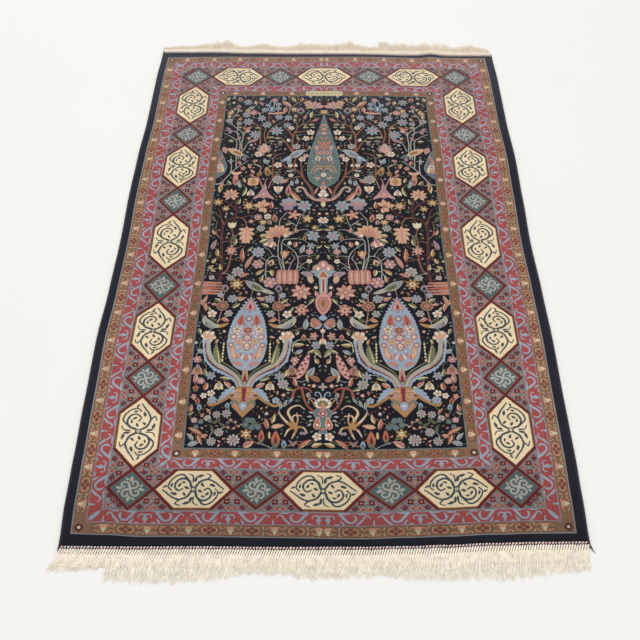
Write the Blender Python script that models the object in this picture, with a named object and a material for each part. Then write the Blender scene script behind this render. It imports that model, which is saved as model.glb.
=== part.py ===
"""A hand-knotted pile carpet that lies flat on a floor.

Its pieces are the knotted carpet itself, the overcast cord along each long side, the twined band
that closes each end, and the fringe of warp ends beyond each band. Metres, +Z up. The origin is
under the middle of the carpet, +X runs to its right side and +Y from its near end to its far end.
"""

import math
import random
from collections import namedtuple

import bmesh
import bpy

# The whole carpet, without its fringes.
WIDTH = 1.22
LENGTH = 1.888
CARPET_THICKNESS = 0.007  # foundation and clipped pile together
PILE_EDGE_DROP = 0.002  # the pile leans outwards at the rim and stands lower there
PILE_EDGE_WIDTH = 0.004
GAP = 0.0003  # between neighbouring pieces

# The overcast side cords: wool wound over the outermost warps.
CORD_WIDTH = 0.006
CORD_HEIGHT = 0.0062

# The yarn end left hanging out of the right cord at its near corner, from its tip: how far it lies
# on beyond the cord, how far out to the side of the carpet's rim, and its thickness.
Turn = namedtuple("Turn", "on out thick")
TAIL = (
    Turn(0.021, 0.0150, 0.0011),
    Turn(0.014, 0.0100, 0.0016),
    Turn(0.007, 0.0056, 0.0022),
    Turn(0.002, 0.0038, 0.0036),
)

# The twined band that locks the wefts at each end.
BAND_DEPTH = 0.013
BAND_HEIGHT = 0.0045

# The fringes: knotted warp ends, fused in a narrow heading and loose beyond it.
STRANDS = 140  # at each end
HEADING_DEPTH = 0.012
HEADING_HEIGHT = 0.0034
HEADING_INSET_LEFT = 0.002  # from the outer side of the cord
HEADING_INSET_RIGHT = 0.008  # more on the right, where the cord's yarn end passes
FRONT = 1  # the side of the heading that the strands leave
PARTING = 0.01  # two locks nearer than this share of the width part the fringe
ROOT_SHARE = 0.64  # how much of its pitch a strand fills at the heading
TIP_WIDTH = 0.0024
TIP_HEIGHT = 0.0016
TIP_JITTER = 0.0011
REACH_JITTER = 0.004
STRAND_RINGS = (0.32, 0.66, 1.0)  # shares of a strand's length
STRAND_CURVE = 1.35  # above 1, a strand bends over more towards its tip

# A low ripple that runs from the far end towards the middle.
RIPPLE_HEIGHT = 0.006
RIPPLE_ACROSS = 0.384
RIPPLE_HALF_WIDTH = 0.050
RIPPLE_LENGTH = 0.70

# How far the long edges bow out of the straight, at shares of the length from the near end.
SideEdge = namedtuple("SideEdge", "share left right")
SIDE_EDGES = (
    SideEdge(0.00, 0.003, -0.002),
    SideEdge(0.06, 0.009, 0.002),
    SideEdge(0.12, 0.011, 0.005),
    SideEdge(0.20, 0.014, 0.006),
    SideEdge(0.31, 0.017, 0.009),
    SideEdge(0.40, 0.011, 0.007),
    SideEdge(0.50, 0.008, 0.003),
    SideEdge(0.60, 0.011, 0.007),
    SideEdge(0.70, 0.009, 0.010),
    SideEdge(0.80, 0.002, 0.005),
    SideEdge(0.92, 0.001, 0.005),
    SideEdge(1.00, -0.004, 0.001),
)

# How far the two ends stand out of the straight, at shares of the width from the left side.
EndEdge = namedtuple("EndEdge", "share near far")
END_EDGES = (
    EndEdge(0.00, 0.008, 0.013),
    EndEdge(0.14, 0.009, 0.013),
    EndEdge(0.27, 0.008, 0.006),
    EndEdge(0.42, 0.009, 0.002),
    EndEdge(0.57, 0.008, 0.001),
    EndEdge(0.66, 0.006, -0.003),
    EndEdge(0.73, 0.003, -0.008),
    EndEdge(0.82, -0.002, -0.010),
    EndEdge(0.91, -0.005, -0.013),
    EndEdge(1.00, -0.006, -0.014),
)

# How far the strands reach from the band, and how far they lean to the right for each unit of
# reach. The first few of the near fringe are combed out past the corner, apart from the rest.
Lock = namedtuple("Lock", "share reach lean")
NEAR_LOCKS = (
    Lock(0.000, 0.043, -0.75),
    Lock(0.045, 0.042, -0.80),
    Lock(0.092, 0.040, -0.55),
    Lock(0.100, 0.061, -0.04),
    Lock(0.180, 0.067, -0.12),
    Lock(0.290, 0.064, -0.22),
    Lock(0.365, 0.048, -0.25),
    Lock(0.435, 0.048, -0.28),
    Lock(0.510, 0.059, -0.32),
    Lock(0.620, 0.053, -0.36),
    Lock(0.730, 0.065, -0.30),
    Lock(0.840, 0.068, -0.14),
    Lock(0.950, 0.057, -0.05),
    Lock(1.000, 0.052, -0.02),
)
FAR_LOCKS = (
    Lock(0.000, 0.030, -0.30),
    Lock(0.040, 0.034, -0.15),
    Lock(0.110, 0.043, -0.05),
    Lock(0.190, 0.064, 0.05),
    Lock(0.235, 0.034, 0.12),
    Lock(0.300, 0.059, 0.08),
    Lock(0.370, 0.036, 0.02),
    Lock(0.430, 0.060, -0.06),
    Lock(0.515, 0.055, 0.04),
    Lock(0.565, 0.068, 0.08),
    Lock(0.630, 0.046, -0.04),
    Lock(0.700, 0.069, -0.08),
    Lock(0.770, 0.057, 0.02),
    Lock(0.840, 0.064, 0.06),
    Lock(0.890, 0.050, 0.00),
    Lock(0.955, 0.061, -0.06),
    Lock(1.000, 0.036, -0.10),
)

CARPET_COLUMNS = 14
CARPET_ROWS = 22
RIPPLE_COLUMNS = (-1.0, -0.5, 0.0, 0.5, 1.0)  # extra columns, in half widths from its ridge

NAVY_WOOL = "#1F202B"
CARPET_WOOL = "#7C4A45"
TWINED_COTTON = "#7B6A6C"
WARP_COTTON = "#EFE4CD"


def smooth_row(table, share, column):
    """A table's column at a share between its rows, eased so that the line has no corners."""
    for low, high in zip(table, table[1:]):
        if share <= high.share:
            step = (share - low.share) / (high.share - low.share)
            eased = step * step * (3 - 2 * step)
            return getattr(low, column) + eased * (getattr(high, column) - getattr(low, column))
    return getattr(table[-1], column)


def left_edge(along):
    return -WIDTH / 2 - smooth_row(SIDE_EDGES, along, "left")


def right_edge(along):
    return WIDTH / 2 + smooth_row(SIDE_EDGES, along, "right")


def near_edge(across):
    return -LENGTH / 2 - smooth_row(END_EDGES, across, "near")


def far_edge(across):
    return LENGTH / 2 + smooth_row(END_EDGES, across, "far")


def ripple(x, y):
    """How far the cloth stands off the floor."""
    side = abs(x - RIPPLE_ACROSS) / RIPPLE_HALF_WIDTH
    down = (LENGTH / 2 - y) / RIPPLE_LENGTH
    if side >= 1 or down >= 1:
        return 0.0
    fade = 1 - max(down, 0.0)
    return RIPPLE_HEIGHT * (0.5 + 0.5 * math.cos(math.pi * side)) * fade * fade * (3 - 2 * fade)


def shares(count):
    return [i / count for i in range(count + 1)]


def on_line(line, x):
    """The y at x on straight runs between a line's places (x, y), and level beyond its ends."""
    if x <= line[0][0]:
        return line[0][1]
    for (x_low, y_low), (x_high, y_high) in zip(line, line[1:]):
        if x <= x_high:
            return y_low + (x - x_low) / (x_high - x_low) * (y_high - y_low)
    return line[-1][1]


def yarn_material(name, colour, roughness):
    """A Principled material from an sRGB hex colour."""
    channels = [int(colour[i : i + 2], 16) / 255 for i in (1, 3, 5)]
    linear = [c / 12.92 if c <= 0.04045 else ((c + 0.055) / 1.055) ** 2.4 for c in channels]
    material = bpy.data.materials.new(name)
    material.use_nodes = True
    shader = material.node_tree.nodes["Principled BSDF"]
    shader.inputs["Base Color"].default_value = (*linear, 1.0)
    shader.inputs["Roughness"].default_value = roughness
    shader.inputs["Metallic"].default_value = 0.0
    return material


def add_object(name, mesh_maker, material, smooth_angle=None):
    """A named object from a function that fills an empty bmesh."""
    shape = bmesh.new()
    mesh_maker(shape)
    bmesh.ops.recalc_face_normals(shape, faces=shape.faces)
    mesh = bpy.data.meshes.new(name)
    shape.to_mesh(mesh)
    shape.free()
    if smooth_angle is not None:
        mesh.shade_smooth()
        mesh.set_sharp_from_angle(angle=smooth_angle)
    mesh.materials.append(material)
    piece = bpy.data.objects.new(name, mesh)
    bpy.context.collection.objects.link(piece)
    return piece


def loft(shape, rings):
    """A closed tube through rings of points that all have the same count."""
    loops = [[shape.verts.new(point) for point in ring] for ring in rings]
    count = len(loops[0])
    for low, high in zip(loops, loops[1:]):
        for i in range(count):
            j = (i + 1) % count
            shape.faces.new((low[i], low[j], high[j], high[i]))
    shape.faces.new(loops[0][::-1])
    shape.faces.new(loops[-1])


# The knotted carpet


def carpet_columns():
    """Shares across the carpet: even, with a narrow rim and a few more over the ripple."""
    rim = PILE_EDGE_WIDTH / WIDTH
    ridge = 0.5 + RIPPLE_ACROSS / WIDTH
    reach = RIPPLE_HALF_WIDTH / WIDTH
    over_ripple = [ridge + step * reach for step in RIPPLE_COLUMNS]
    clear = [s for s in shares(CARPET_COLUMNS) if 0 < s < 1 and abs(s - ridge) > 1.3 * reach]
    return sorted([0, rim, 1 - rim, 1] + clear + over_ripple)


def carpet_rows():
    rim = PILE_EDGE_WIDTH / LENGTH
    return sorted([0, rim, 1 - rim, 1] + [s for s in shares(CARPET_ROWS) if 0 < s < 1])


def carpet_point(across, along):
    """A place on the carpet, blended from its four uneven edges."""
    inset_side = CORD_WIDTH + GAP
    inset_end = BAND_DEPTH + GAP
    left, right = left_edge(along) + inset_side, right_edge(along) - inset_side
    near, far = near_edge(across) + inset_end, far_edge(across) - inset_end
    return left + across * (right - left), near + along * (far - near)


def carpet(shape):
    columns, rows = carpet_columns(), carpet_rows()

    def layer(top):
        grid = []
        for along in rows:
            line = []
            for across in columns:
                x, y = carpet_point(across, along)
                at_rim = across in (0, 1) or along in (0, 1)
                height = CARPET_THICKNESS - (PILE_EDGE_DROP if at_rim else 0) if top else 0
                line.append(shape.verts.new((x, y, ripple(x, y) + height)))
            grid.append(line)
        return grid

    pile, back = layer(True), layer(False)
    for grid in (pile, back):
        for low, high in zip(grid, grid[1:]):
            for i in range(len(columns) - 1):
                shape.faces.new((low[i], low[i + 1], high[i + 1], high[i]))

    def rim_of(grid):
        right = [line[-1] for line in grid[1:-1]]
        left = [line[0] for line in grid[1:-1]]
        return grid[0] + right + grid[-1][::-1] + left[::-1]

    upper, lower = rim_of(pile), rim_of(back)
    for i in range(len(upper)):
        j = (i + 1) % len(upper)
        shape.faces.new((lower[i], lower[j], upper[j], upper[i]))


# The side cords


def cord_section(x, y, z, width, height):
    """Eight points round a cord, flat where it lies on the floor."""
    outline = ((-0.62, 0), (0.62, 0), (1, 0.3), (1, 0.68), (0.55, 1), (-0.55, 1), (-1, 0.68), (-1, 0.3))
    return [(x + width / 2 * across, y, z + height * up) for across, up in outline]


def side_cord(side, with_tail):
    """The maker of one cord, which follows the carpet's rim: side is -1 left and 1 right."""
    corner = 0 if side < 0 else 1

    def make(shape):
        line = [carpet_point(corner, along) for along in carpet_rows()]
        line = [(line[0][0], near_edge(corner)), *line, (line[-1][0], far_edge(corner))]
        rings = []
        for rim, y in line:
            x = rim + side * (GAP + CORD_WIDTH / 2)
            rings.append(cord_section(x, y, ripple(x, y), CORD_WIDTH, CORD_HEIGHT))
        if with_tail:
            x, y = line[0]
            rings = [
                cord_section(x + side * turn.out, y - turn.on, 0, turn.thick, turn.thick) for turn in TAIL
            ] + rings
        loft(shape, rings)

    return make


# The twined bands


def band_line(edge, end):
    """The places (x, outer y) along one band, one for each column of the carpet's rim."""
    return [(carpet_point(across, 0 if end < 0 else 1)[0], edge(across)) for across in carpet_columns()]


def twined_band(edge, end):
    """The maker of one band, between the carpet and its fringe: end is -1 near and 1 far."""

    def make(shape):
        rings = []
        line = band_line(edge, end)
        line[0] = (line[0][0] + GAP, line[0][1])
        line[-1] = (line[-1][0] - GAP, line[-1][1])
        for x, outer in line:
            inner = outer - end * BAND_DEPTH
            lift = ripple(x, outer)
            profile = (
                (outer, 0),
                (outer, 0.55),
                (outer - end * 0.25 * BAND_DEPTH, 1),
                (inner + end * 0.12 * BAND_DEPTH, 1),
                (inner, 0.8),
                (inner, 0),
            )
            rings.append([(x, y, lift + BAND_HEIGHT * up) for y, up in profile])
        loft(shape, rings)

    return make


# The fringes


def lock_at(locks, across):
    """Reach and lean of the strand at a share of the width. Two locks close together make a parting."""
    for low, high in zip(locks, locks[1:]):
        if across <= high.share:
            if high.share - low.share < PARTING:
                break
            return smooth_row((low, high), across, "reach"), smooth_row((low, high), across, "lean")
    return high.reach, high.lean


def fringe(edge, end, locks, seed):
    """The maker of one fringe: a flat heading along the band, with a strand out of each pitch."""

    def make(shape):
        chance = random.Random(seed)
        line = band_line(edge, end)
        left = line[0][0] - CORD_WIDTH + HEADING_INSET_LEFT
        right = line[-1][0] + CORD_WIDTH - HEADING_INSET_RIGHT
        pitch = (right - left) / STRANDS

        def heading_column(x):
            """The heading's four corners at one place along the end."""
            inner = on_line(line, x) + end * GAP
            outer = inner + end * HEADING_DEPTH
            lift = ripple(x, inner)
            places = ((inner, 0), (outer, 0), (outer, HEADING_HEIGHT), (inner, HEADING_HEIGHT))
            return [shape.verts.new((x, y, lift + z)) for y, z in places]

        def join(one, two, with_front):
            for i in range(4):
                j = (i + 1) % 4
                if i != FRONT or with_front:
                    shape.faces.new((one[i], one[j], two[j], two[i]))

        def strand(one, two, across):
            """Four-sided, from the heading's front face to a thin tip that lies on the floor."""
            reach, lean = lock_at(locks, across)
            length = reach - HEADING_DEPTH + chance.uniform(-REACH_JITTER, REACH_JITTER)
            sway = chance.uniform(-TIP_JITTER, TIP_JITTER)
            root_width = two[1].co.x - one[1].co.x
            middle = (one[1].co.x + two[1].co.x) / 2
            front = (one[1].co.y + two[1].co.y) / 2
            lift = one[1].co.z
            ring = [one[1], two[1], two[2], one[2]]
            for s in STRAND_RINGS:
                half = (root_width + s * (TIP_WIDTH - root_width)) / 2
                x = middle + lean * length * s**STRAND_CURVE + sway * s
                y = front + end * length * s
                floor = lift * (1 - s) ** 2
                top = floor + HEADING_HEIGHT + s * (TIP_HEIGHT - HEADING_HEIGHT)
                corners = ((x - half, floor), (x + half, floor), (x + half, top), (x - half, top))
                after = [shape.verts.new((corner_x, y, z)) for corner_x, z in corners]
                for i in range(4):
                    j = (i + 1) % 4
                    shape.faces.new((ring[i], ring[j], after[j], after[i]))
                ring = after
            shape.faces.new(ring)

        columns = []
        for k in range(STRANDS):
            centre = left + (k + 0.5) * pitch
            half_root = ROOT_SHARE * pitch / 2
            columns.append((heading_column(centre - half_root), heading_column(centre + half_root)))
        for k, (one, two) in enumerate(columns):
            if k:
                join(columns[k - 1][1], one, with_front=True)
            join(one, two, with_front=False)
            strand(one, two, (k + 0.5) / STRANDS)
        shape.faces.new(columns[0][0])
        shape.faces.new(columns[-1][1])

    return make


def main():
    for old in list(bpy.data.objects):
        bpy.data.objects.remove(old)

    navy = yarn_material("navy_wool", NAVY_WOOL, 0.92)
    knotted = yarn_material("knotted_wool", CARPET_WOOL, 0.95)
    twined = yarn_material("twined_cotton", TWINED_COTTON, 0.9)
    warp = yarn_material("warp_cotton", WARP_COTTON, 0.9)
    round_edge = math.radians(50)

    add_object("carpet", carpet, knotted)
    add_object("side_cord_left", side_cord(-1, with_tail=False), navy, round_edge)
    add_object("side_cord_right", side_cord(1, with_tail=True), navy, round_edge)
    add_object("twined_band_near", twined_band(near_edge, -1), twined, round_edge)
    add_object("twined_band_far", twined_band(far_edge, 1), twined, round_edge)
    add_object("fringe_near", fringe(near_edge, -1, NEAR_LOCKS, seed=4), warp)
    add_object("fringe_far", fringe(far_edge, 1, FAR_LOCKS, seed=9), warp)


main()
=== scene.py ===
"""A hand-knotted garden carpet, lying flat on a pale floor.

The pile's pattern is drawn knot by knot on a chart, as a weaver's chart is: strokes, leaves, petals
and turned outlines in 32 dyes. Each face of the pile carries sixteen knots of that chart.
Metres, +Z up, in the frame of the packed model.
"""

import math
import random
from collections import namedtuple

import bmesh
import bpy
import numpy as np
from mathutils import Matrix, Vector


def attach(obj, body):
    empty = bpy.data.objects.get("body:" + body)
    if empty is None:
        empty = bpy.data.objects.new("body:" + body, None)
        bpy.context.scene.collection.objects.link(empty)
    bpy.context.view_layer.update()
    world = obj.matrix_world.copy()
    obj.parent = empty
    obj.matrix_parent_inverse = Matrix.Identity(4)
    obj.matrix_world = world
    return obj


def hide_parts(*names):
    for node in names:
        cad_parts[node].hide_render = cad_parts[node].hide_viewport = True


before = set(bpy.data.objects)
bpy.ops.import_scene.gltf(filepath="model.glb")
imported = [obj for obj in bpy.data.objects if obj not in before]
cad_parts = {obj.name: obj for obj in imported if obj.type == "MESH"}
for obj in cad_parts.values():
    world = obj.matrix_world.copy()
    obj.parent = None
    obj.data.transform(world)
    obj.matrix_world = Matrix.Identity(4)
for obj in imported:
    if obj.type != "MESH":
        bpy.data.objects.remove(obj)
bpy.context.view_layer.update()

bl_info = {
    "name": "Knotted garden carpet",
    "version": (1, 0, 0),
    "blender": (4, 5, 0),
    "location": "3D View > Sidebar > Carpet",
    "description": "Knotted pile, overcast sides, twined ends and fringes of a garden carpet",
    "category": "Add Mesh",
}

# The carpet's outline, as its solids have it.
WIDTH = 1.22
LENGTH = 1.888
THICKNESS = 0.007
GAP = 0.0003
CORD_WIDTH = 0.006
CORD_HEIGHT = 0.0062
BAND_DEPTH = 0.013
BAND_HEIGHT = 0.0045
HEADING_DEPTH = 0.012
HEADING_HEIGHT = 0.0034
HEADING_INSET_LEFT = 0.002
HEADING_INSET_RIGHT = 0.008
STRANDS = 140
PARTING = 0.01  # two rows of locks closer than this share part the fringe
STRAND_CURVE = 1.35
TIP_JITTER = 0.0011
LONGEST_WARP = 0.066  # from the heading to its tip

RIPPLE_HEIGHT = 0.006
RIPPLE_ACROSS = 0.384
RIPPLE_HALF_WIDTH = 0.050
RIPPLE_LENGTH = 0.70

SideEdge = namedtuple("SideEdge", "share left right")
SIDE_EDGES = [SideEdge(*row) for row in (
    (0.00, 0.003, -0.002),
    (0.06, 0.009, 0.002),
    (0.12, 0.011, 0.005),
    (0.20, 0.014, 0.006),
    (0.31, 0.017, 0.009),
    (0.40, 0.011, 0.007),
    (0.50, 0.008, 0.003),
    (0.60, 0.011, 0.007),
    (0.70, 0.009, 0.010),
    (0.80, 0.002, 0.005),
    (0.92, 0.001, 0.005),
    (1.00, -0.004, 0.001),
)]
EndEdge = namedtuple("EndEdge", "share near far")
END_EDGES = [EndEdge(*row) for row in (
    (0.00, 0.008, 0.013),
    (0.14, 0.009, 0.013),
    (0.27, 0.008, 0.006),
    (0.42, 0.009, 0.002),
    (0.57, 0.008, 0.001),
    (0.66, 0.006, -0.003),
    (0.73, 0.003, -0.008),
    (0.82, -0.002, -0.010),
    (0.91, -0.005, -0.013),
    (1.00, -0.006, -0.014),
)]

# How far the strands reach from the band, and how far they lean to the right for each unit of it.
Lock = namedtuple("Lock", "share reach lean")
NEAR_LOCKS = [Lock(*row) for row in (
    (0.000, 0.043, -0.75),
    (0.045, 0.042, -0.80),
    (0.092, 0.040, -0.55),
    (0.100, 0.061, -0.04),
    (0.180, 0.067, -0.12),
    (0.290, 0.064, -0.22),
    (0.365, 0.048, -0.25),
    (0.435, 0.048, -0.28),
    (0.510, 0.059, -0.32),
    (0.620, 0.053, -0.36),
    (0.730, 0.065, -0.30),
    (0.840, 0.068, -0.14),
    (0.950, 0.057, -0.05),
    (1.000, 0.052, -0.02),
)]
FAR_LOCKS = [Lock(*row) for row in (
    (0.000, 0.030, -0.30),
    (0.040, 0.034, -0.15),
    (0.110, 0.043, -0.05),
    (0.190, 0.064, 0.05),
    (0.235, 0.034, 0.12),
    (0.300, 0.059, 0.08),
    (0.370, 0.036, 0.02),
    (0.430, 0.060, -0.06),
    (0.515, 0.055, 0.04),
    (0.565, 0.068, 0.08),
    (0.630, 0.046, -0.04),
    (0.700, 0.069, -0.08),
    (0.770, 0.057, 0.02),
    (0.840, 0.064, 0.06),
    (0.890, 0.050, 0.00),
    (0.955, 0.061, -0.06),
    (1.000, 0.036, -0.10),
)]

# The chart, counted in knots.
BLOCK = 4  # a face of the pile is this many knots wide and long
RIM = 16  # the plain navy rim
BORDER = 160  # from the guard stripe's outer edge to the garden
COLUMNS = 816
ROWS = 1316
GARDEN_COLUMNS = COLUMNS - 2 * (RIM + BORDER)
GARDEN_ROWS = ROWS - 2 * (RIM + BORDER)
GARDEN_LENGTH = 915  # the garden is drawn in squares of 1.5 mm, a little longer than a knot

# How deep the navy rim is in the cloth.
RIM_LEFT = 0.0185
RIM_RIGHT = 0.0220
RimDepth = namedtuple("RimDepth", "share depth")
RIM_NEAR = [RimDepth(*row) for row in (
    (0.00, 0.0265),
    (0.08, 0.0250),
    (0.15, 0.0207),
    (0.40, 0.0190),
    (0.56, 0.0152),
    (0.66, 0.0170),
    (1.00, 0.0172),
)]
RIM_FAR = [RimDepth(*row) for row in (
    (0.00, 0.0300),
    (0.16, 0.0270),
    (0.23, 0.0210),
    (0.50, 0.0171),
    (0.72, 0.0140),
    (0.82, 0.0170),
    (0.87, 0.0125),
    (1.00, 0.0135),
)]
WARP_CREEP = 0.030  # how far the warps have crept to the right towards the near end
MIDDLE_CREEP = 5.0  # how many knots the middle of the garden lies too far to the left

RIM_DROP = 0.002  # the pile's outermost edge lies lower
BACK_ROWS = 7  # how many of the pile's faces one face of the back takes up
BACK_COLUMNS = 4

# The right cord's loose end: how far out and on from the cord's end, and how thick.
Turn = namedtuple("Turn", "on out thick")
TAIL_ROOT = Turn(-0.006, 0.0, 0.0044)  # inside the cord, at its middle
TAIL = (
    Turn(0.002, 0.0038, 0.0036),
    Turn(0.006, 0.0056, 0.0022),
    Turn(0.010, 0.0078, 0.0015),
    Turn(0.014, 0.0105, 0.0010),
)
TWINING_DEPTH = 0.0096  # from the twined band's outer edge in to its row of stitches

# A fringe: its heading of knots, its loose warps, and the lowest ones, which hide the floor.
BAND_LAP = 0.0042  # how far the heading's knots lap over the twined band
KNOT_ROWS = 5
KNOT_ROW_INSET = 0.0018
KNOT_ROWS_APART = 0.0036
KNOT_ROW_SHIFT = 0.0014  # each row of knots stands a little to one side of the last
KNOT_SIZES = {"Pitch": 0.0060, "Long": 0.0046, "Thick": 0.0044, "Lean": 1.2}
WARP_ROOT = 0.006  # how far the loose warps reach in under the heading
WARP_STEPS = 9
LOWEST_WARPS_NEAR = 0.040
LOWEST_WARPS_FAR = 0.027
# How a fringe is combed: how many of its locks begin a new tuft, how short and long the tufts are,
# the shortest warp in a lock, and how high its warps rise. The near one is nearly even, the far one ragged.
Combing = namedtuple("Combing", "tufts short long least rise")
NEAR_COMBING = Combing(1.0, 0.96, 1.06, 0.84, 0.0)
FAR_COMBING = Combing(0.4, 0.85, 1.25, 0.50, 0.008)

# How many places the lines of the yarn work have along a side and across an end.
SIDE_STEPS = 161
END_STEPS = 320

# The camera stands where the photographer's eyes did.
CAMERA_PLACE = (0.0058, -1.6104, 1.7691)
CAMERA_PITCH = 53.250
CAMERA_YAW = -0.905
CAMERA_ROLL = -0.711
CAMERA_LENS = 44.63
WORLD_STRENGTH = 0.76
FLOOR_HALF = 14.0
FLOOR_DROP = 0.0004  # keeps the floor clear of the carpet's back
# Each lamp's name, place, target, width and depth, and watts.
LAMPS = (
    ("window_side", (-0.6, 3.6, 2.8), (0, 0, 0), (5.0, 2.6), 42),
    ("overhead", (0.0, -1.2, 4.2), (0, -0.6, 0), (4.0, 4.0), 46),
)

# A face's numbers count in as many dyes as there are here, so another one wouldn't fit in them.
Dye = namedtuple("Dye", "name hex use")
DYES = (
    Dye("midnight", "#12121B", "the garden's ground"),
    Dye("navy", "#1E1F2A", "the plain rim"),
    Dye("rust", "#90604A", "the arches of the guard stripes"),
    Dye("madder", "#9E4A48", "the red vine stripes"),
    Dye("sky", "#93A1AD", "the vines on red"),
    Dye("cream", "#E6D1AC", "the cartouches"),
    Dye("deep_teal", "#3D4C52", "the ornament on cream"),
    Dye("teal", "#4F6266", "the diamonds"),
    Dye("chalk", "#ABA69B", "the ornament on teal"),
    Dye("oxblood", "#641F22", "the outlines of the cartouches"),
    Dye("walnut", "#80592F", "the inner outlines"),
    Dye("sage_grey", "#777A7A", "the ground between the cartouches"),
    Dye("garnet", "#732E36", "small squares and rings"),
    Dye("peach", "#C59D83", "large leaves and lilies"),
    Dye("rose", "#B07E75", "rose buds"),
    Dye("coral", "#A8624E", "coral leaves"),
    Dye("mist", "#8E999E", "grey-blue stars"),
    Dye("straw", "#C6BC94", "straw buds"),
    Dye("olive", "#6F6E4E", "olive leaves"),
    Dye("bark", "#84644F", "brown stems and the guard stripes"),
    Dye("lake", "#8E9EAF", "the light cypresses"),
    Dye("spruce", "#5C6D6E", "the dark cypress"),
    Dye("mauve", "#8F7C87", "mauve petals"),
    Dye("gold", "#A27C50", "gold petals"),
    Dye("maroon", "#5E3230", "dark stems"),
    Dye("ivory", "#D2C6B4", "white petals"),
    Dye("ash", "#A09D94", "pale stems"),
    Dye("moss", "#59634A", "green leaves"),
    Dye("pink", "#B98B86", "pink petals"),
    Dye("umber", "#614A31", "the guards' vines"),
    Dye("pewter", "#87898B", "thin grey lines"),
    Dye("salmon", "#B57A69", "salmon petals"),
)
DYE_COUNT = float(len(DYES))
DYE_NUMBER = {dye.name: number for number, dye in enumerate(DYES)}


def linear(colour):
    """An sRGB hex colour as linear red, green and blue."""
    channels = [int(colour[i : i + 2], 16) / 255 for i in (1, 3, 5)]
    return tuple(c / 12.92 if c <= 0.04045 else ((c + 0.055) / 1.055) ** 2.4 for c in channels)


# The chart and the pen


class Chart:
    """The number of the dye of each knot, row by row from the far end."""

    def __init__(self, columns, rows, ground, row_scale=1.0):
        self.knots = np.full((rows, columns), DYE_NUMBER[ground], np.uint8)
        self.row_scale = row_scale

    def window(self, x, y, margin):
        """The part of the chart round some places: its first column and row, and past its last ones."""
        rows, columns = self.knots.shape
        left = max(int(x.min() - margin) - 1, 0)
        top = max(int(y.min() - margin) - 1, 0)
        right = min(int(x.max() + margin) + 2, columns)
        bottom = min(int(y.max() + margin) + 2, rows)
        return left, top, right, bottom

    def fill(self, points, dye, edge=None):
        """A closed shape. A knot takes the dye if its middle lies inside."""
        x, y = points.real, points.imag * self.row_scale
        left, top, right, bottom = self.window(x, y, 1)
        if left >= right or top >= bottom:
            return
        rows = np.arange(top, bottom)[:, None] + 0.5
        columns = np.arange(left, right) + 0.5
        next_x, next_y = np.roll(x, -1), np.roll(y, -1)
        rise = np.where(next_y == y, 1.0, next_y - y)
        meets = np.where((y > rows) != (next_y > rows), x + (rows - y) / rise * (next_x - x), np.inf)
        inside = (meets[:, None, :] < columns[None, :, None]).sum(2) % 2 == 1
        view = self.knots[top:bottom, left:right]
        if edge:
            grown = inside.copy()
            grown[1:] |= inside[:-1]
            grown[:-1] |= inside[1:]
            grown[:, 1:] |= inside[:, :-1]
            grown[:, :-1] |= inside[:, 1:]
            view[grown] = DYE_NUMBER[edge]
        view[inside] = DYE_NUMBER[dye]

    def line(self, points, widths, dye):
        """A line that passes from one width to the next at its points."""
        x, y = points.real, points.imag * self.row_scale
        for i in range(len(x) - 1):
            low, high = widths[i] / 2, widths[i + 1] / 2
            left, top, right, bottom = self.window(x[i : i + 2], y[i : i + 2], max(low, high))
            if left >= right or top >= bottom:
                continue
            across = np.arange(left, right) + 0.5 - x[i]
            down = np.arange(top, bottom)[:, None] + 0.5 - y[i]
            run, rise = x[i + 1] - x[i], y[i + 1] - y[i]
            step = np.clip((across * run + down * rise) / (run * run + rise * rise + 1e-9), 0, 1)
            off = np.hypot(across - step * run, down - step * rise)
            self.knots[top:bottom, left:right][off <= low + step * (high - low)] = DYE_NUMBER[dye]


class Pen:
    """Draws on a chart in a place, size and turn of its own. Points are complex: x runs to the right
    and y down. A mirrored pen swaps its left and right."""

    def __init__(self, chart, place=0j, scale=1 + 0j, mirrored=False):
        self.chart = chart
        self.place = place
        self.scale = scale
        self.mirrored = mirrored

    def where(self, points):
        points = np.asarray(points, complex)
        return self.place + self.scale * (-points.conj() if self.mirrored else points)

    def at(self, x, y, turn=0.0, size=1.0, mirrored=False):
        """A pen in a place of this one, turned clockwise by degrees."""
        turned = size * np.exp(1j * math.radians(turn))
        turned = turned.conjugate() if self.mirrored else turned
        place = complex(self.where(complex(x, y)))
        return Pen(self.chart, place, self.scale * turned, self.mirrored != mirrored)

    def both(self):
        """This pen and its mirror image."""
        return self, self.at(0, 0, mirrored=True)

    def fill(self, points, dye, edge=None):
        self.chart.fill(self.where(points), dye, edge)

    def line(self, points, width, dye, tip=None):
        """A soft line through the points, which ends as wide as tip."""
        soft = smooth(points)
        widths = np.linspace(width, width if tip is None else tip, len(soft)) * abs(self.scale)
        self.chart.line(self.where(soft), widths, dye)

    def dot(self, x, y, radius, dye, edge=None):
        round_about = np.exp(1j * np.linspace(0, 2 * np.pi, 16, endpoint=False))
        self.fill(complex(x, y) + radius * round_about, dye, edge)


def smooth(points, steps=6):
    """More places on a soft line through the points."""
    points = np.array([complex(*p) if isinstance(p, tuple) else p for p in points])
    if len(points) < 3:
        return points
    line = np.concatenate(([2 * points[0] - points[1]], points, [2 * points[-1] - points[-2]]))
    t = np.arange(steps) / steps
    runs = []
    for a, b, c, d in zip(line, line[1:], line[2:], line[3:]):
        second, third = a - 2.5 * b + 2 * c - d / 2, 1.5 * (b - c) + (d - a) / 2
        runs.append(b + (c - a) * t / 2 + second * t**2 + third * t**3)
    return np.concatenate([*runs, points[-1:]])


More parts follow.
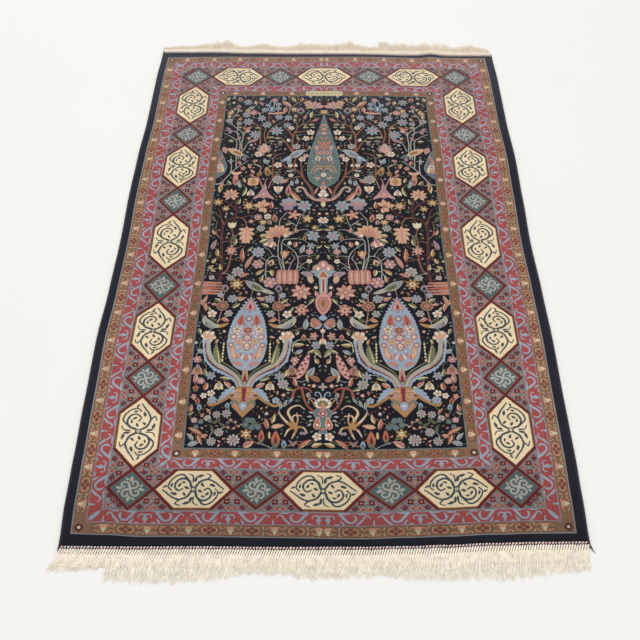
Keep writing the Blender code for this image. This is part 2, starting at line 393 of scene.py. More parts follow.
def blade(length, width, bend=0.0, belly=0.45, teeth=0):
    """The outline of a leaf or petal from its root at 0 to its tip, upwards. bend is how many degrees
    its spine turns by, belly the share of its length where it is widest."""
    steps = max(10, teeth * 4)
    t = np.linspace(0, 1, steps + 1)
    heading = np.exp(1j * np.radians(bend) * (t - 0.5))
    spine = np.cumsum(np.concatenate(([0], -1j * heading[1:] * length / steps)))
    half = width / 2 * np.sin(np.pi * t ** (math.log(0.5) / math.log(belly))) ** 0.9
    if teeth:
        half = half * (1 - 0.5 * ((t * teeth) % 1.0))
    return np.concatenate((spine + half * heading, (spine - half * heading)[::-1]))


def lobes(radius, petals, depth=0.35, sharp=1.0):
    """The outline of a round flower. depth is how far the notches reach in, sharp points the petals."""
    turn = np.linspace(0, 2 * np.pi, petals * 8, endpoint=False)
    wave = np.abs(np.cos(petals * turn / 2)) ** sharp
    return radius * (1 - depth + depth * wave) * np.exp(1j * (turn - np.pi / 2))


def turned(*rows):
    """An outline the same on both sides of an upright axis, from rows of a height and a half width."""
    right = smooth([(half, y) for y, half in rows], 4)
    return np.concatenate((right, -right[::-1].conj()))


def rhombus(half_long, half_high):
    return np.array([half_long, half_high * 1j, -half_long, -half_high * 1j])


SQUARE = np.array([-1 - 1j, 1 - 1j, 1 + 1j, -1 + 1j])


# Leaves and flowers, each drawn round its pen's place and pointing up


def leaf(pen, length, width, dye, edge=None, vein=None, bend=0.0, teeth=0, belly=0.42, shade=None):
    outline = blade(length, width, bend, belly, teeth) + 0.5j * length
    pen.fill(outline, dye, edge)
    if shade:
        half = len(outline) // 2
        spine = (outline[:half] + outline[: half - 1 : -1]) / 2
        pen.fill(np.concatenate((outline[:half], spine[::-1])), shade)
    if vein:
        pen.line([0.42j * length, -0.3j * length], max(1.0, width * 0.16), vein, 0.8)


def rosette(pen, radius, petals, dye, edge=None, heart=None, eye=None, depth=0.3, sharp=1.0):
    pen.fill(lobes(radius, petals, depth, sharp), dye, edge)
    # A larger flower shows the gaps between its petals.
    if radius > 6:
        for k in range(petals):
            pen.at(0, 0, 360 / petals * (k + 0.5)).line([0j, -0.8j * radius], 1.1, "midnight")
    if heart:
        pen.dot(0, 0, radius * 0.42, heart)
    if eye:
        pen.dot(0, 0, radius * 0.18, eye)


def bud(pen, length, width, dye, cup="moss", edge=None, heart=None):
    """A drop-shaped bud in a small cup."""
    pen.fill(blade(length, width, belly=0.4) + 0.5j * length, dye, edge)
    if heart:
        pen.fill(blade(length * 0.5, width * 0.4, belly=0.4) + 0.3j * length, heart)
    for side in pen.both():
        leaf(side.at(width * 0.22, length * 0.36, 28), length * 0.45, width * 0.3, cup)


def tulip(pen, size, dye, inner, cup="moss", edge=None):
    """Three petals, the outer two turned out."""
    for side in pen.both():
        side.fill(blade(size, size * 0.5, 40, 0.45) * np.exp(0.45j) + 0.45j * size, dye, edge)
    pen.fill(blade(size * 0.95, size * 0.42) + 0.45j * size, inner, edge)
    pen.dot(0, size * 0.42, size * 0.16, cup)


def fan(pen, count, spread, length, width, dye, hub=None, edge=None, belly=0.62):
    """Petals spread out of one hub."""
    for k in range(count):
        angle = spread * ((k + 0.5) / count - 0.5)
        pen.at(0, 0, angle).fill(blade(length, width, belly=belly), dye, edge)
    if hub:
        pen.dot(0, 0, width * 0.5, hub)


def lotus(pen, size, outer, middle, inner, heart):
    """A palmette: serrated outer leaves, lobes in front of them, and a heart."""
    for side in pen.both():
        for angle, length in ((100, 0.55), (68, 0.72), (38, 0.86)):
            side.at(0, size * 0.2, angle).fill(blade(size * length, size * 0.34, 20, 0.6, 3), outer)
    pen.fill(turned((-0.62 * size, 0.02 * size), (-0.35 * size, 0.34 * size), (0.1 * size, 0.42 * size),
                    (0.42 * size, 0.12 * size), (0.5 * size, 0.0)), middle, "maroon")
    pen.fill(turned((-0.5 * size, 0.02 * size), (-0.2 * size, 0.2 * size), (0.2 * size, 0.16 * size),
                    (0.34 * size, 0.0)), inner)
    pen.fill(blade(size * 0.4, size * 0.2) + 0.2j * size, heart)


def bird(pen, length, width, body, wing, tail, bend=0.0):
    """A slim bird from its head at 0 to its rump, upwards, and its long tail beyond."""
    turn = np.exp(1j * math.radians(0.2 * bend))
    pen.fill(blade(1.45 * length, 0.6 * width, 1.4 * bend, 0.72) * turn, tail)
    pen.fill(blade(length, width, bend, 0.45), body, "straw")
    pen.fill(blade(0.6 * length, 0.6 * width, 0.5 * bend, 0.5) - 0.28j * length / turn**2, wing)
    for k in range(4):
        tick = complex(0, -(0.36 + 0.13 * k) * length) / turn**2
        pen.line([tick - 0.22 * width, tick + 0.22 * width - 0.06j * length], 1.3, "midnight")
    pen.dot(0, -0.05 * length, 0.26 * width, body)
    pen.line([(0, 0), (0.1 * width, 0.45 * width)], 0.16 * width, "gold", 0.8)


# The borders. A stripe's pen stands in the middle of its side, at the outer edge of the guard: x runs
# along the side and y inwards.

BAND_START = 45
BAND_END = 120
BAND_MIDDLE = (BAND_START + BAND_END) / 2
PANEL_HALF = 33
DIAMOND_HALF = 32.3

# A diamond's place from the middle of its side, and from there to where its outline meets a panel's.
Station = namedtuple("Station", "place reach")
# Half of a scroll, from a palmette to the line where the next half begins. Its reach has a sign.
Half = namedtuple("Half", "place reach")
Vine = namedtuple("Vine", "palmettes halves")
Stripe = namedtuple("Stripe", "half stations cut outer_vine inner_vine palmettes crosses")


def between(places):
    """The halves of the scrolls between neighbouring palmettes."""
    pairs = list(zip(places, places[1:]))
    return [Half(a, (b - a) / 2) for a, b in pairs] + [Half(b, (a - b) / 2) for a, b in pairs]


END_PALMETTES = (-189, -48.5, 48.5, 189)
SIDE_PALMETTES = (-491, -353, -212, -62, 103, 243, 383, 521)
ENDS = Stripe(
    half=COLUMNS / 2 - RIM,
    stations=(Station(106.5, 38.5), Station(309.5, 36)),
    cut=31,
    outer_vine=Vine((-281, -150, 150, 281), [
        Half(7.2, 71.4), Half(150, -71.4), Half(150, 65.5), Half(281, -65.5), Half(281, 64),
        Half(-7.2, -71.4), Half(-150, 71.4), Half(-150, -65.5), Half(-281, 65.5), Half(-281, -64),
    ]),
    inner_vine=Vine(END_PALMETTES, [*between(END_PALMETTES), Half(189, 66), Half(-189, -66)]),
    palmettes=(76, 145.5, 212, 276, 343),
    crosses=(42, 111.5, 179, 244.5, 309),
)
SIDES = Stripe(
    half=ROWS / 2 - RIM,
    stations=(Station(119.5, 40.5), Station(340.5, 37.5), Station(559.5, 36)),
    cut=35,
    outer_vine=Vine(SIDE_PALMETTES, [
        *between(SIDE_PALMETTES), Half(521, 69), Half(-491, -70), Half(-631, 70),
    ]),
    inner_vine=Vine(SIDE_PALMETTES[:-1], [*between(SIDE_PALMETTES[:-1]), Half(383, 69), Half(521, -69)]),
    palmettes=(37, 114, 188.5, 255.5, 321, 389.5, 457.5, 522, 590),
    crosses=(0, 76, 152, 223.5, 288, 355.5, 423.5, 489, 555),
)


def panel_shape(half_long, cut, grow, half_wide):
    """A long six-sided panel. grow moves its slanting edges out from the middle of their outline."""
    long = half_long + grow * math.hypot(1, cut / PANEL_HALF)
    shoulder = long - cut * half_wide / PANEL_HALF
    return np.array([complex(long, 0), complex(shoulder, half_wide), complex(-shoulder, half_wide),
                     complex(-long, 0), complex(-shoulder, -half_wide), complex(shoulder, -half_wide)])


def diamond_shape(half_long, half_high, grow):
    slant = grow * math.hypot(half_long, half_high)
    long, high = half_long + slant / half_high, half_high + slant / half_long
    return rhombus(long, high)


def scrollwork(pen, half_long):
    """Tendrils and leaves that fill a cream panel. One half is the other, turned round."""
    stretch = half_long / 68

    def stroke(side, width, tip, *points):
        side.line([(x * stretch, y) for x, y in points], width, "deep_teal", tip)

    rosette(pen, 6, 6, "deep_teal", heart="cream", eye="deep_teal")
    for side in (pen, pen.at(0, 0, 180)):
        stroke(side, 4.4, 2.6, (4, 5), (8, 15), (18, 20), (29, 15), (32, 5), (26, -2), (19, 1))
        stroke(side, 3.4, 2.4, (11, 19), (20, 27), (31, 24), (40, 15), (43, 5), (38, -1))
        stroke(side, 4.0, 2.4, (4, -5), (11, -14), (24, -18), (35, -14), (44, -7), (52, -1))
        stroke(side, 3.0, 2.0, (22, -18), (29, -25), (21, -29))
        stroke(side, 2.8, 1.8, (1, 14), (2, 24), (9, 28))
        for x, y, turn, long, wide, bend in (
            (11, -24, 70, 14, 5.2, 20), (3, -19, 10, 12, 5.0, -25), (24, 8, 215, 9, 4.6, 20),
            (37, 8, 190, 9, 4.0, 20), (48, 5, 65, 9, 4.2, -20), (33, -7, 105, 12, 5.2, 25),
            (12, 3, 110, 10, 4.6, 0), (15, -8, 140, 10, 4.4, 20), (18, 13, 100, 8, 3.6, 20),
        ):
            leaf(side.at(x * stretch, y, turn), long, wide, "deep_teal", bend=bend)


def knotwork(pen):
    """Four bold hooks and leaves in a teal diamond."""
    pen.dot(0, 0, 3.4, "chalk")
    for quarter in range(4):
        arm = pen.at(0, 0, 90 * quarter)
        arm.line([(1, -3), (3, -9), (9, -12), (14, -8), (12, -3), (8, -4)], 4.2, "chalk", 2.6)
        leaf(arm.at(-1, -18, -14), 12, 5.6, "chalk", bend=-20)
        leaf(arm.at(6.5, -17.5, 55), 8, 3.6, "chalk")


def spandrel(pen, sides):
    """Small flowers on the ground beside the place where two outlines meet: y runs away from it."""
    leaf(pen.at(0, 13), 9, 6.4, "salmon", vein="garnet")
    pen.dot(0, 21, 1.8, "mist")
    pen.dot(0, 28, 1.6, "olive")
    for side in sides:
        side.fill(4.2 * SQUARE + complex(8.4, 21), "oxblood")
        side.dot(8.4, 21, 1.9, "salmon")
        side.fill(rhombus(5.4, 4.2) + complex(18, 31), "garnet", "midnight")
        rosette(side.at(5.2, 32.5), 4.6, 4, "salmon", heart="garnet", depth=0.45)
        for k in range(6):
            side.dot(5.5 + 3.9 * k, 11 + 4.6 * k, 0.9, "salmon" if k % 2 else "mauve")


def corner_ground(pen):
    """The same kind of flowers between the corner diamond and the band's outer corner."""
    rosette(pen.at(7, 7.5), 4.6, 4, "salmon", heart="garnet", depth=0.45)
    pen.dot(13, 14, 1.6, "olive")
    for side in (pen, pen.at(0, 0, 270, mirrored=True)):
        side.dot(24, 7.5, 3.4, "garnet", "midnight")
        side.dot(15, 5, 1.6, "mist")
        side.fill(3 * SQUARE + complex(17, 13), "oxblood")
        side.dot(17, 13, 1.3, "pink")


def speckle(chart, low, high, seed):
    """Strews single knots of other dyes over the ground between two depths."""
    chance = np.random.default_rng(seed)
    other = chance.random(chart.knots.shape)
    inner = np.zeros(chart.knots.shape, bool)
    inner[low:-low, low:-low] = True
    inner[high:-high, high:-high] = False
    for limit, dye in ((0.30, "teal"), (0.20, "maroon"), (0.10, "salmon")):
        chart.knots[inner & (other < limit)] = DYE_NUMBER[dye]


def panel_band(pen, stripe):
    """Cream panels between teal diamonds, the last diamonds in the corners."""
    middle = pen.at(0, BAND_MIDDLE)
    stations = [Station(-s.place, s.reach) for s in reversed(stripe.stations)] + list(stripe.stations)
    last = stripe.stations[-1].place
    for place, reach in stations:
        for x in (place - reach, place + reach):
            if abs(x) > last:
                continue
            outer, inner = middle.at(x, 0, 180), middle.at(x, 0, mirrored=x > 0)
            spandrel(outer, outer.both())
            # The ends have already drawn the ground inside the corner diamonds.
            shared = abs(place) == last and stripe is SIDES
            spandrel(inner, (inner,) if shared else inner.both())
    panels = [((a.place + a.reach + b.place - b.reach) / 2, (b.place - b.reach - a.place - a.reach) / 2)
              for a, b in zip(stations, stations[1:])]
    for grow, half_wide, panel_dye, diamond_dye in (
        (2.3, 37, "oxblood", "oxblood"),
        (-2.2, 35.5, "walnut", "walnut"),
        (-3.4, PANEL_HALF, "cream", "teal"),
    ):
        for place, half_long in panels:
            middle.at(place, 0).fill(panel_shape(half_long, stripe.cut, grow, half_wide), panel_dye)
        for place, reach in stations:
            half_high = reach if abs(place) == last else DIAMOND_HALF
            middle.at(place, 0).fill(diamond_shape(reach, half_high, grow), diamond_dye)
    for place, half_long in panels:
        scrollwork(middle.at(place, 0), half_long)
    for place, reach in stations:
        knotwork(middle.at(place, 0))


def palmette(pen, apart, tall):
    """A drop under a bar with hooked ends. Two of them may stand apart under one bar."""
    drop = turned((5 * tall, 1.2), (1, 2.6), (-3 * tall, 4.0), (-5.8 * tall, 1.4), (-9 * tall, 2.4))
    for side in pen.both():
        side.at(apart, 0).fill(drop, "sky")
        bar = [(0, 5 * tall), (apart + 6, 5.4 * tall), (apart + 9.6, 3.8 * tall), (apart + 10, 0)]
        side.line(bar, 2.4, "sky", 1.6)


def scroll(pen, reach, tall):
    """The leaves from a palmette to the line where the next palmette's leaves begin."""
    roomy = reach > 55
    across = reach / 70 if roomy else 1.0

    def stroke(width, tip, *points):
        pen.line([(x * across, y * tall) for x, y in points], width, "sky", tip)

    stroke(3.6, 4.8, (17, 9.8), (20.5, 6.5), (24, 2))
    stroke(4.8, 2.6, (24, 2), (28.5, -3), (33, -5.8), (38, -5.4))
    stroke(2.8, 3.6, (38, -5.4), (42, -2), (43, 2))
    stroke(3.6, 1.4, (43, 2), (41.7, 5.6), (39.5, 7))
    stroke(2.6, 1.2, (18, 9.4), (34, 9.2))
    stroke(1.4, 3.8, (19.4, -2.5), (24, -8.5))
    stroke(2.6, 1.4, (12, -8.8), (17, -8.8))
    if roomy:
        stroke(3.2, 4.2, (44, -9), (48.3, -5.7), (52, -1.8))
        stroke(3.0, 1.8, (52, -1.8), (55, 2.5), (58.3, 5.5), (61.7, 5.5), (64.4, 2))
        stroke(1.5, 1.2, (46, 9), (58, 9))
    stroke(3.8, 1.0, (reach / across, -9), (reach / across, -1))
    for k in (4, 7, 10):
        pen.dot(reach - k, -8.6 * tall, 0.8, "maroon")


def red_vine(pen, vine, tall):
    """Light-blue palmettes with mirrored scrolls between them, on a red stripe."""
    for place, reach in vine.halves:
        scroll(pen.at(place, 0, mirrored=reach < 0), abs(reach), tall)
    for place in vine.palmettes:
        palmette(pen.at(place, 0), 0, tall)


def guard(pen, stripe, depth, limit, tall, stem, doubled):
    """Pale palmettes and dark crosses by turns, each in an arch of fine stems, along a guard stripe."""
    sides = pen.at(0, depth).both()
    for side in sides:
        for x in stripe.crosses:
            if x < limit:
                cross(side.at(x, 0), tall, stem)
        for x in stripe.palmettes:
            if x < limit:
                small_palmette(side.at(x, 0), 0, tall, stem)
    if doubled:
        small_palmette(sides[0], 6.5, tall, stem)


def arch(pen, half_long, half_high, stem):
    """A brighter field inside a fine dark stem, with another stem along its two ends."""
    around = np.exp(1j * np.linspace(0, 2 * np.pi, 24, endpoint=False))
    pen.fill(half_long * around.real + 1j * half_high * around.imag, "rust", "umber")
    for side in pen.both():
        side.line([(0.3 * half_long, -0.78 * half_high), (0.8 * half_long, -0.4 * half_high),
                   (0.8 * half_long, 0.4 * half_high), (0.3 * half_long, 0.78 * half_high)], 1.3, stem)


def cross(pen, tall, stem):
    arch(pen, 14, 8 * tall, stem)
    for side in pen.both():
        leaf(side.at(6.2, 0, 90), 7, 3.2 * tall, "maroon")
        side.dot(10.5, 5 * tall, 1.4, "gold")
        side.line([(17, -7 * tall), (19, 0), (17, 7 * tall)], 1.8, stem)
    for turn in (0, 180):
        leaf(pen.at(0, 0, turn).at(0, -4 * tall), 4.6 * tall, 3.4, "maroon")
    pen.dot(0, 0, 1.4, "pewter")


def small_palmette(pen, apart, tall, stem):
    arch(pen, 16 + apart, 8.6 * tall, stem)
    for side in pen.both():
        side.dot(apart + 12, -0.5, 2.2 * tall, "moss")
        side.dot(apart + 11, 4.5 * tall, 1.0, "gold")
        flower = side.at(apart, 0)
        cup = turned((-1.5 * tall, 2.4), (1.5 * tall, 5.2), (4.5 * tall, 5.4), (6.4 * tall, 2.4))
        bloom = turned((-7.4 * tall, 0.3), (-4 * tall, 2.6), (-0.5 * tall, 3.2), (1.5 * tall, 0.4))
        for petal in flower.both():
            leaf(petal.at(4.0, -1.2 * tall, 62), 6, 2.8 * tall, "pewter")
        flower.fill(cup, "peach")
        flower.fill(bloom, "straw")
        flower.dot(0, 2.4 * tall, 1.3, "salmon")


def draw_borders(chart):
    # How deep in from the rim each plain stripe begins.
    stripes = (
        (0, "pewter"), (2, "bark"), (21, "mauve"), (23, "madder"), (43, "mauve"),
        (44, "pewter"), (BAND_START, "sage_grey"), (BAND_END, "pewter"), (BAND_END + 1, "mauve"),
        (BAND_END + 2, "madder"), (139, "mauve"), (141, "bark"), (158, "spruce"),
    )
    for depth, dye in stripes:
        inset = RIM + depth
        chart.knots[inset:-inset, inset:-inset] = DYE_NUMBER[dye]
    speckle(chart, RIM + BAND_START, RIM + BAND_END, 8)
    centre = Pen(chart).at(COLUMNS / 2, ROWS / 2)
    ways = (
        (0, ENDS, SIDES, False), (180, ENDS, SIDES, False),
        (90, SIDES, ENDS, False), (270, SIDES, ENDS, True),
    )
    for turn, way, other, mirrored in ways:
        stripe = centre.at(0, 0, turn, mirrored=mirrored).at(0, -other.half)
        for depth, limit, tall, stem in (
            (11.5, way.half - 30, 1.0, "peach"),
            (149.5, way.half - 165, 0.86, "umber"),
        ):
            guard(stripe, way, depth, limit, tall, stem, way is ENDS)
        red_vine(stripe.at(0, 33), way.outer_vine, 1.0)
        red_vine(stripe.at(0, 130.5), way.inner_vine, 0.85)
        if way is ENDS:
            palmette(stripe.at(0, 33), 7.2, 1.0)
        for side in stripe.both():
            leaf(side.at(way.half - 34, 34).at(0, 0, -135), 27, 7, "sky", belly=0.35)
            leaf(side.at(way.half - 131, 131).at(0, 0, -135), 22, 6, "sky", belly=0.35)
    for turn, way, other, mirrored in ways:
        stripe = centre.at(0, 0, turn, mirrored=mirrored).at(0, -other.half)
        panel_band(stripe, way)
    for x in (-1, 1):
        for y in (-1, 1):
            corner = centre.at(x * ENDS.half, y * SIDES.half)
            for depth in (11.5, 149):
                rosette(corner.at(-x * depth, -y * depth), 6.4, 8, "maroon", "umber", "ivory", depth=0.2)
            band_corner = corner.at(-x * BAND_START, -y * BAND_START, 0 if x * y > 0 else 90)
            corner_ground(band_corner.at(0, 0, 0 if y < 0 else 180))
    plate = centre.at(0, 149.5 - SIDES.half)
    plate.fill(panel_shape(45, 10, 0, 9.4), "umber")
    plate.fill(panel_shape(44, 10, 0, 8.2), "straw")
    for k in range(-4, 5):
        plate.fill(rhombus(3.6, 2.6) + 9 * k, "gold")


# The garden. Its left half is drawn in squares of 1.5 mm, x from the left edge and y from the far
# edge, and then mirrored.

AXIS = GARDEN_COLUMNS / 2
TREE_AXIS = 95.5  # the light cypress and its vase are themselves the same on both sides

VEINS = {
    "olive": "midnight", "moss": "midnight", "peach": "maroon", "gold": "maroon", "straw": "bark",
    "coral": "maroon", "mist": "deep_teal", "lake": "deep_teal", "mauve": "midnight", "rose": "garnet",
    "pink": "garnet", "salmon": "garnet", "bark": "midnight", "spruce": "midnight", "ash": "mauve",
}
SHADES = {
    "olive": "straw", "moss": "olive", "peach": "salmon", "gold": "straw", "straw": "gold", "coral": "peach",
    "mist": "ash", "mauve": "pink", "rose": "peach",
}

# Stems: the dye, the width, and the places that each passes from its root to its tip.
STEMS = (
    ("ash", 2.6, ((48, 215), (50, 190), (48, 165), (49, 140), (42, 124), (32, 114), (20, 103), (4, 90))),
    ("ash", 2.4, ((44, 215), (45, 180), (43, 158), (37, 140), (33, 122), (34, 104), (31, 86))),
    ("ash", 2.2, ((40, 136), (28, 126), (14, 122), (3, 124))),
    ("ash", 2.0, ((49, 140), (54, 126), (57, 118))),
    ("ash", 2.4, ((39, 215), (37, 185), (36, 160), (28, 148), (14, 138), (4, 132))),
    ("ash", 2.0, ((54, 190), (60, 168), (72, 158), (80, 150))),
    ("ash", 1.8, ((20, 103), (18, 90), (22, 72), (30, 58), (31, 46))),
    ("ash", 2.8, ((2, 295), (12, 291), (25, 270), (38, 250), (52, 234), (66, 222))),
    ("ash", 2.2, ((30, 262), (31, 240), (28, 214))),
    ("ash", 2.4, ((41, 247), (40, 222), (39, 200))),
    ("rust", 3.4, ((90, 166), (88, 140), (86, 120), (80, 105), (68, 95), (60, 92))),
    ("bark", 1.8, ((86, 118), (87, 104), (90, 98))),
    ("rust", 3.0, ((102, 160), (97, 140), (99, 112))),
    ("rust", 3.0, ((103, 148), (108, 124), (120, 106), (134, 94), (146, 84))),
    ("rust", 2.6, ((104, 98), (105, 80), (104, 68))),
    ("bark", 1.4, ((86, 70), (80, 62), (70, 50))),
    ("rust", 4.9, ((165, 196), (162, 170), (162, 145), (166, 128), (171, 112), (170, 96))),
    ("rust", 4.1, ((163, 142), (155, 128), (148, 118), (140, 110))),
    ("rust", 3.8, ((168, 126), (180, 126), (190, 122))),
    ("rust", 4.1, ((161, 190), (152, 170), (144, 156), (135, 147))),
    ("rust", 3.2, ((172, 110), (183, 100), (184, 86))),
    ("bark", 2.0, ((186, 100), (198, 88), (204, 74))),
    ("coral", 1.6, ((170, 190), (174, 160), (182, 150), (190, 140))),
    ("ash", 1.6, ((150, 64), (153, 44), (160, 36), (172, 24))),
    ("rust", 5.1, (
        (212, 332), (206, 306), (192, 280), (184, 262), (170, 250), (150, 240), (141, 228), (137, 214),
    )),
    ("rust", 4.1, ((170, 252), (169, 230), (172, 206), (176, 192))),
    ("rust", 3.8, ((188, 270), (172, 272), (158, 276))),
    ("rust", 3.8, ((186, 262), (184, 240), (182, 226))),
    ("rust", 4.1, ((126, 285), (122, 260), (123, 235), (122, 214), (130, 202), (146, 196))),
    ("rose", 2.6, ((104, 306), (98, 288), (92, 270), (95, 250), (96, 240), (84, 234))),
    ("rose", 2.2, ((96, 280), (86, 272), (72, 268))),
    ("rose", 2.4, ((112, 306), (108, 288), (112, 276))),
    ("rose", 2.2, ((116, 306), (120, 288), (128, 270), (131, 262))),
    ("maroon", 6.5, ((31, 562), (32, 530), (29, 490), (26, 450), (27, 416), (36, 398), (52, 391))),
    ("rust", 3.2, ((52, 391), (66, 394), (73, 404), (75, 416))),
    ("bark", 2.0, ((28, 410), (20, 392), (10, 384))),
    ("bark", 2.2, ((26, 450), (16, 440), (12, 420), (14, 402))),
    ("rust", 4.1, ((36, 540), (44, 530), (48, 500), (46, 470), (48, 440), (45, 424))),
    ("bark", 2.0, ((48, 505), (56, 504), (62, 500))),
    ("bark", 2.2, ((30, 500), (22, 490), (20, 480))),
    ("bark", 2.0, ((28, 460), (40, 456), (52, 462))),
    ("maroon", 6.0, ((45, 420), (52, 380), (50, 352), (42, 336))),
    ("maroon", 3.9, ((52, 372), (40, 356), (28, 345))),
    ("maroon", 3.4, ((26, 420), (18, 380), (12, 366))),
    ("maroon", 3.4, ((60, 392), (78, 386), (96, 366))),
    ("ash", 2.2, ((152, 532), (144, 500), (142, 470), (144, 446))),
    ("ash", 2.2, ((157, 532), (152, 500), (149, 468), (152, 452), (166, 438), (178, 414), (186, 384))),
    ("ash", 1.8, ((152, 452), (170, 449), (190, 451), (204, 462))),
    ("ash", 2.0, ((166, 438), (184, 426), (198, 424), (206, 430))),
    ("ash", 1.8, ((178, 414), (166, 404), (160, 398))),
    ("ash", 2.0, ((143, 420), (144, 398), (152, 384), (158, 374))),
    ("ash", 2.2, ((180, 532), (183, 506), (176, 484), (162, 470), (152, 462))),
    ("ash", 1.6, ((183, 496), (196, 494), (206, 496))),
    ("ash", 1.6, ((183, 524), (194, 514), (204, 508))),
    ("ash", 1.8, ((184, 532), (190, 524), (196, 526))),
    ("ash", 1.8, ((164, 532), (170, 512), (176, 500), (170, 490))),
    ("ash", 2.0, ((122, 560), (120, 532), (121, 508), (132, 496), (146, 500), (156, 530))),
    ("ash", 1.6, ((122, 535), (114, 548), (106, 552))),
    ("ash", 1.6, ((121, 508), (112, 500), (106, 494))),
    ("ash", 1.6, ((134, 496), (128, 486), (124, 478))),
    ("rose", 1.8, ((36, 668), (40, 645), (42, 625), (42, 600), (44, 586))),
    ("rose", 1.4, ((38, 655), (48, 646), (56, 640))),
    ("rose", 1.4, ((42, 612), (52, 608), (60, 604))),
    ("rose", 1.8, ((155, 668), (151, 645), (149, 625), (149, 600), (147, 586))),
    ("rose", 1.4, ((153, 655), (143, 646), (135, 640))),
    ("rose", 1.4, ((149, 612), (139, 608), (131, 604))),
    ("rose", 1.6, ((100, 575), (97, 584), (95.5, 596))),
    ("bark", 1.6, ((172, 678), (186, 672), (200, 664))),
    ("straw", 1.8, ((178, 722), (180, 704), (190, 696), (204, 694), (210, 702))),
    ("ash", 1.4, ((204, 730), (212, 720), (220, 716))),
    ("coral", 4.4, ((180, 816), (184, 802), (196, 797), (208, 800), (213, 806))),
    ("coral", 4.0, ((196, 800), (201, 822), (210, 838), (222, 846))),
    ("bark", 2.2, ((190, 798), (186, 784), (182, 776))),
    ("ash", 1.6, ((122, 905), (134, 908), (146, 914))),
    ("ash", 1.2, ((156, 850), (160, 838), (170, 832), (178, 824))),
)

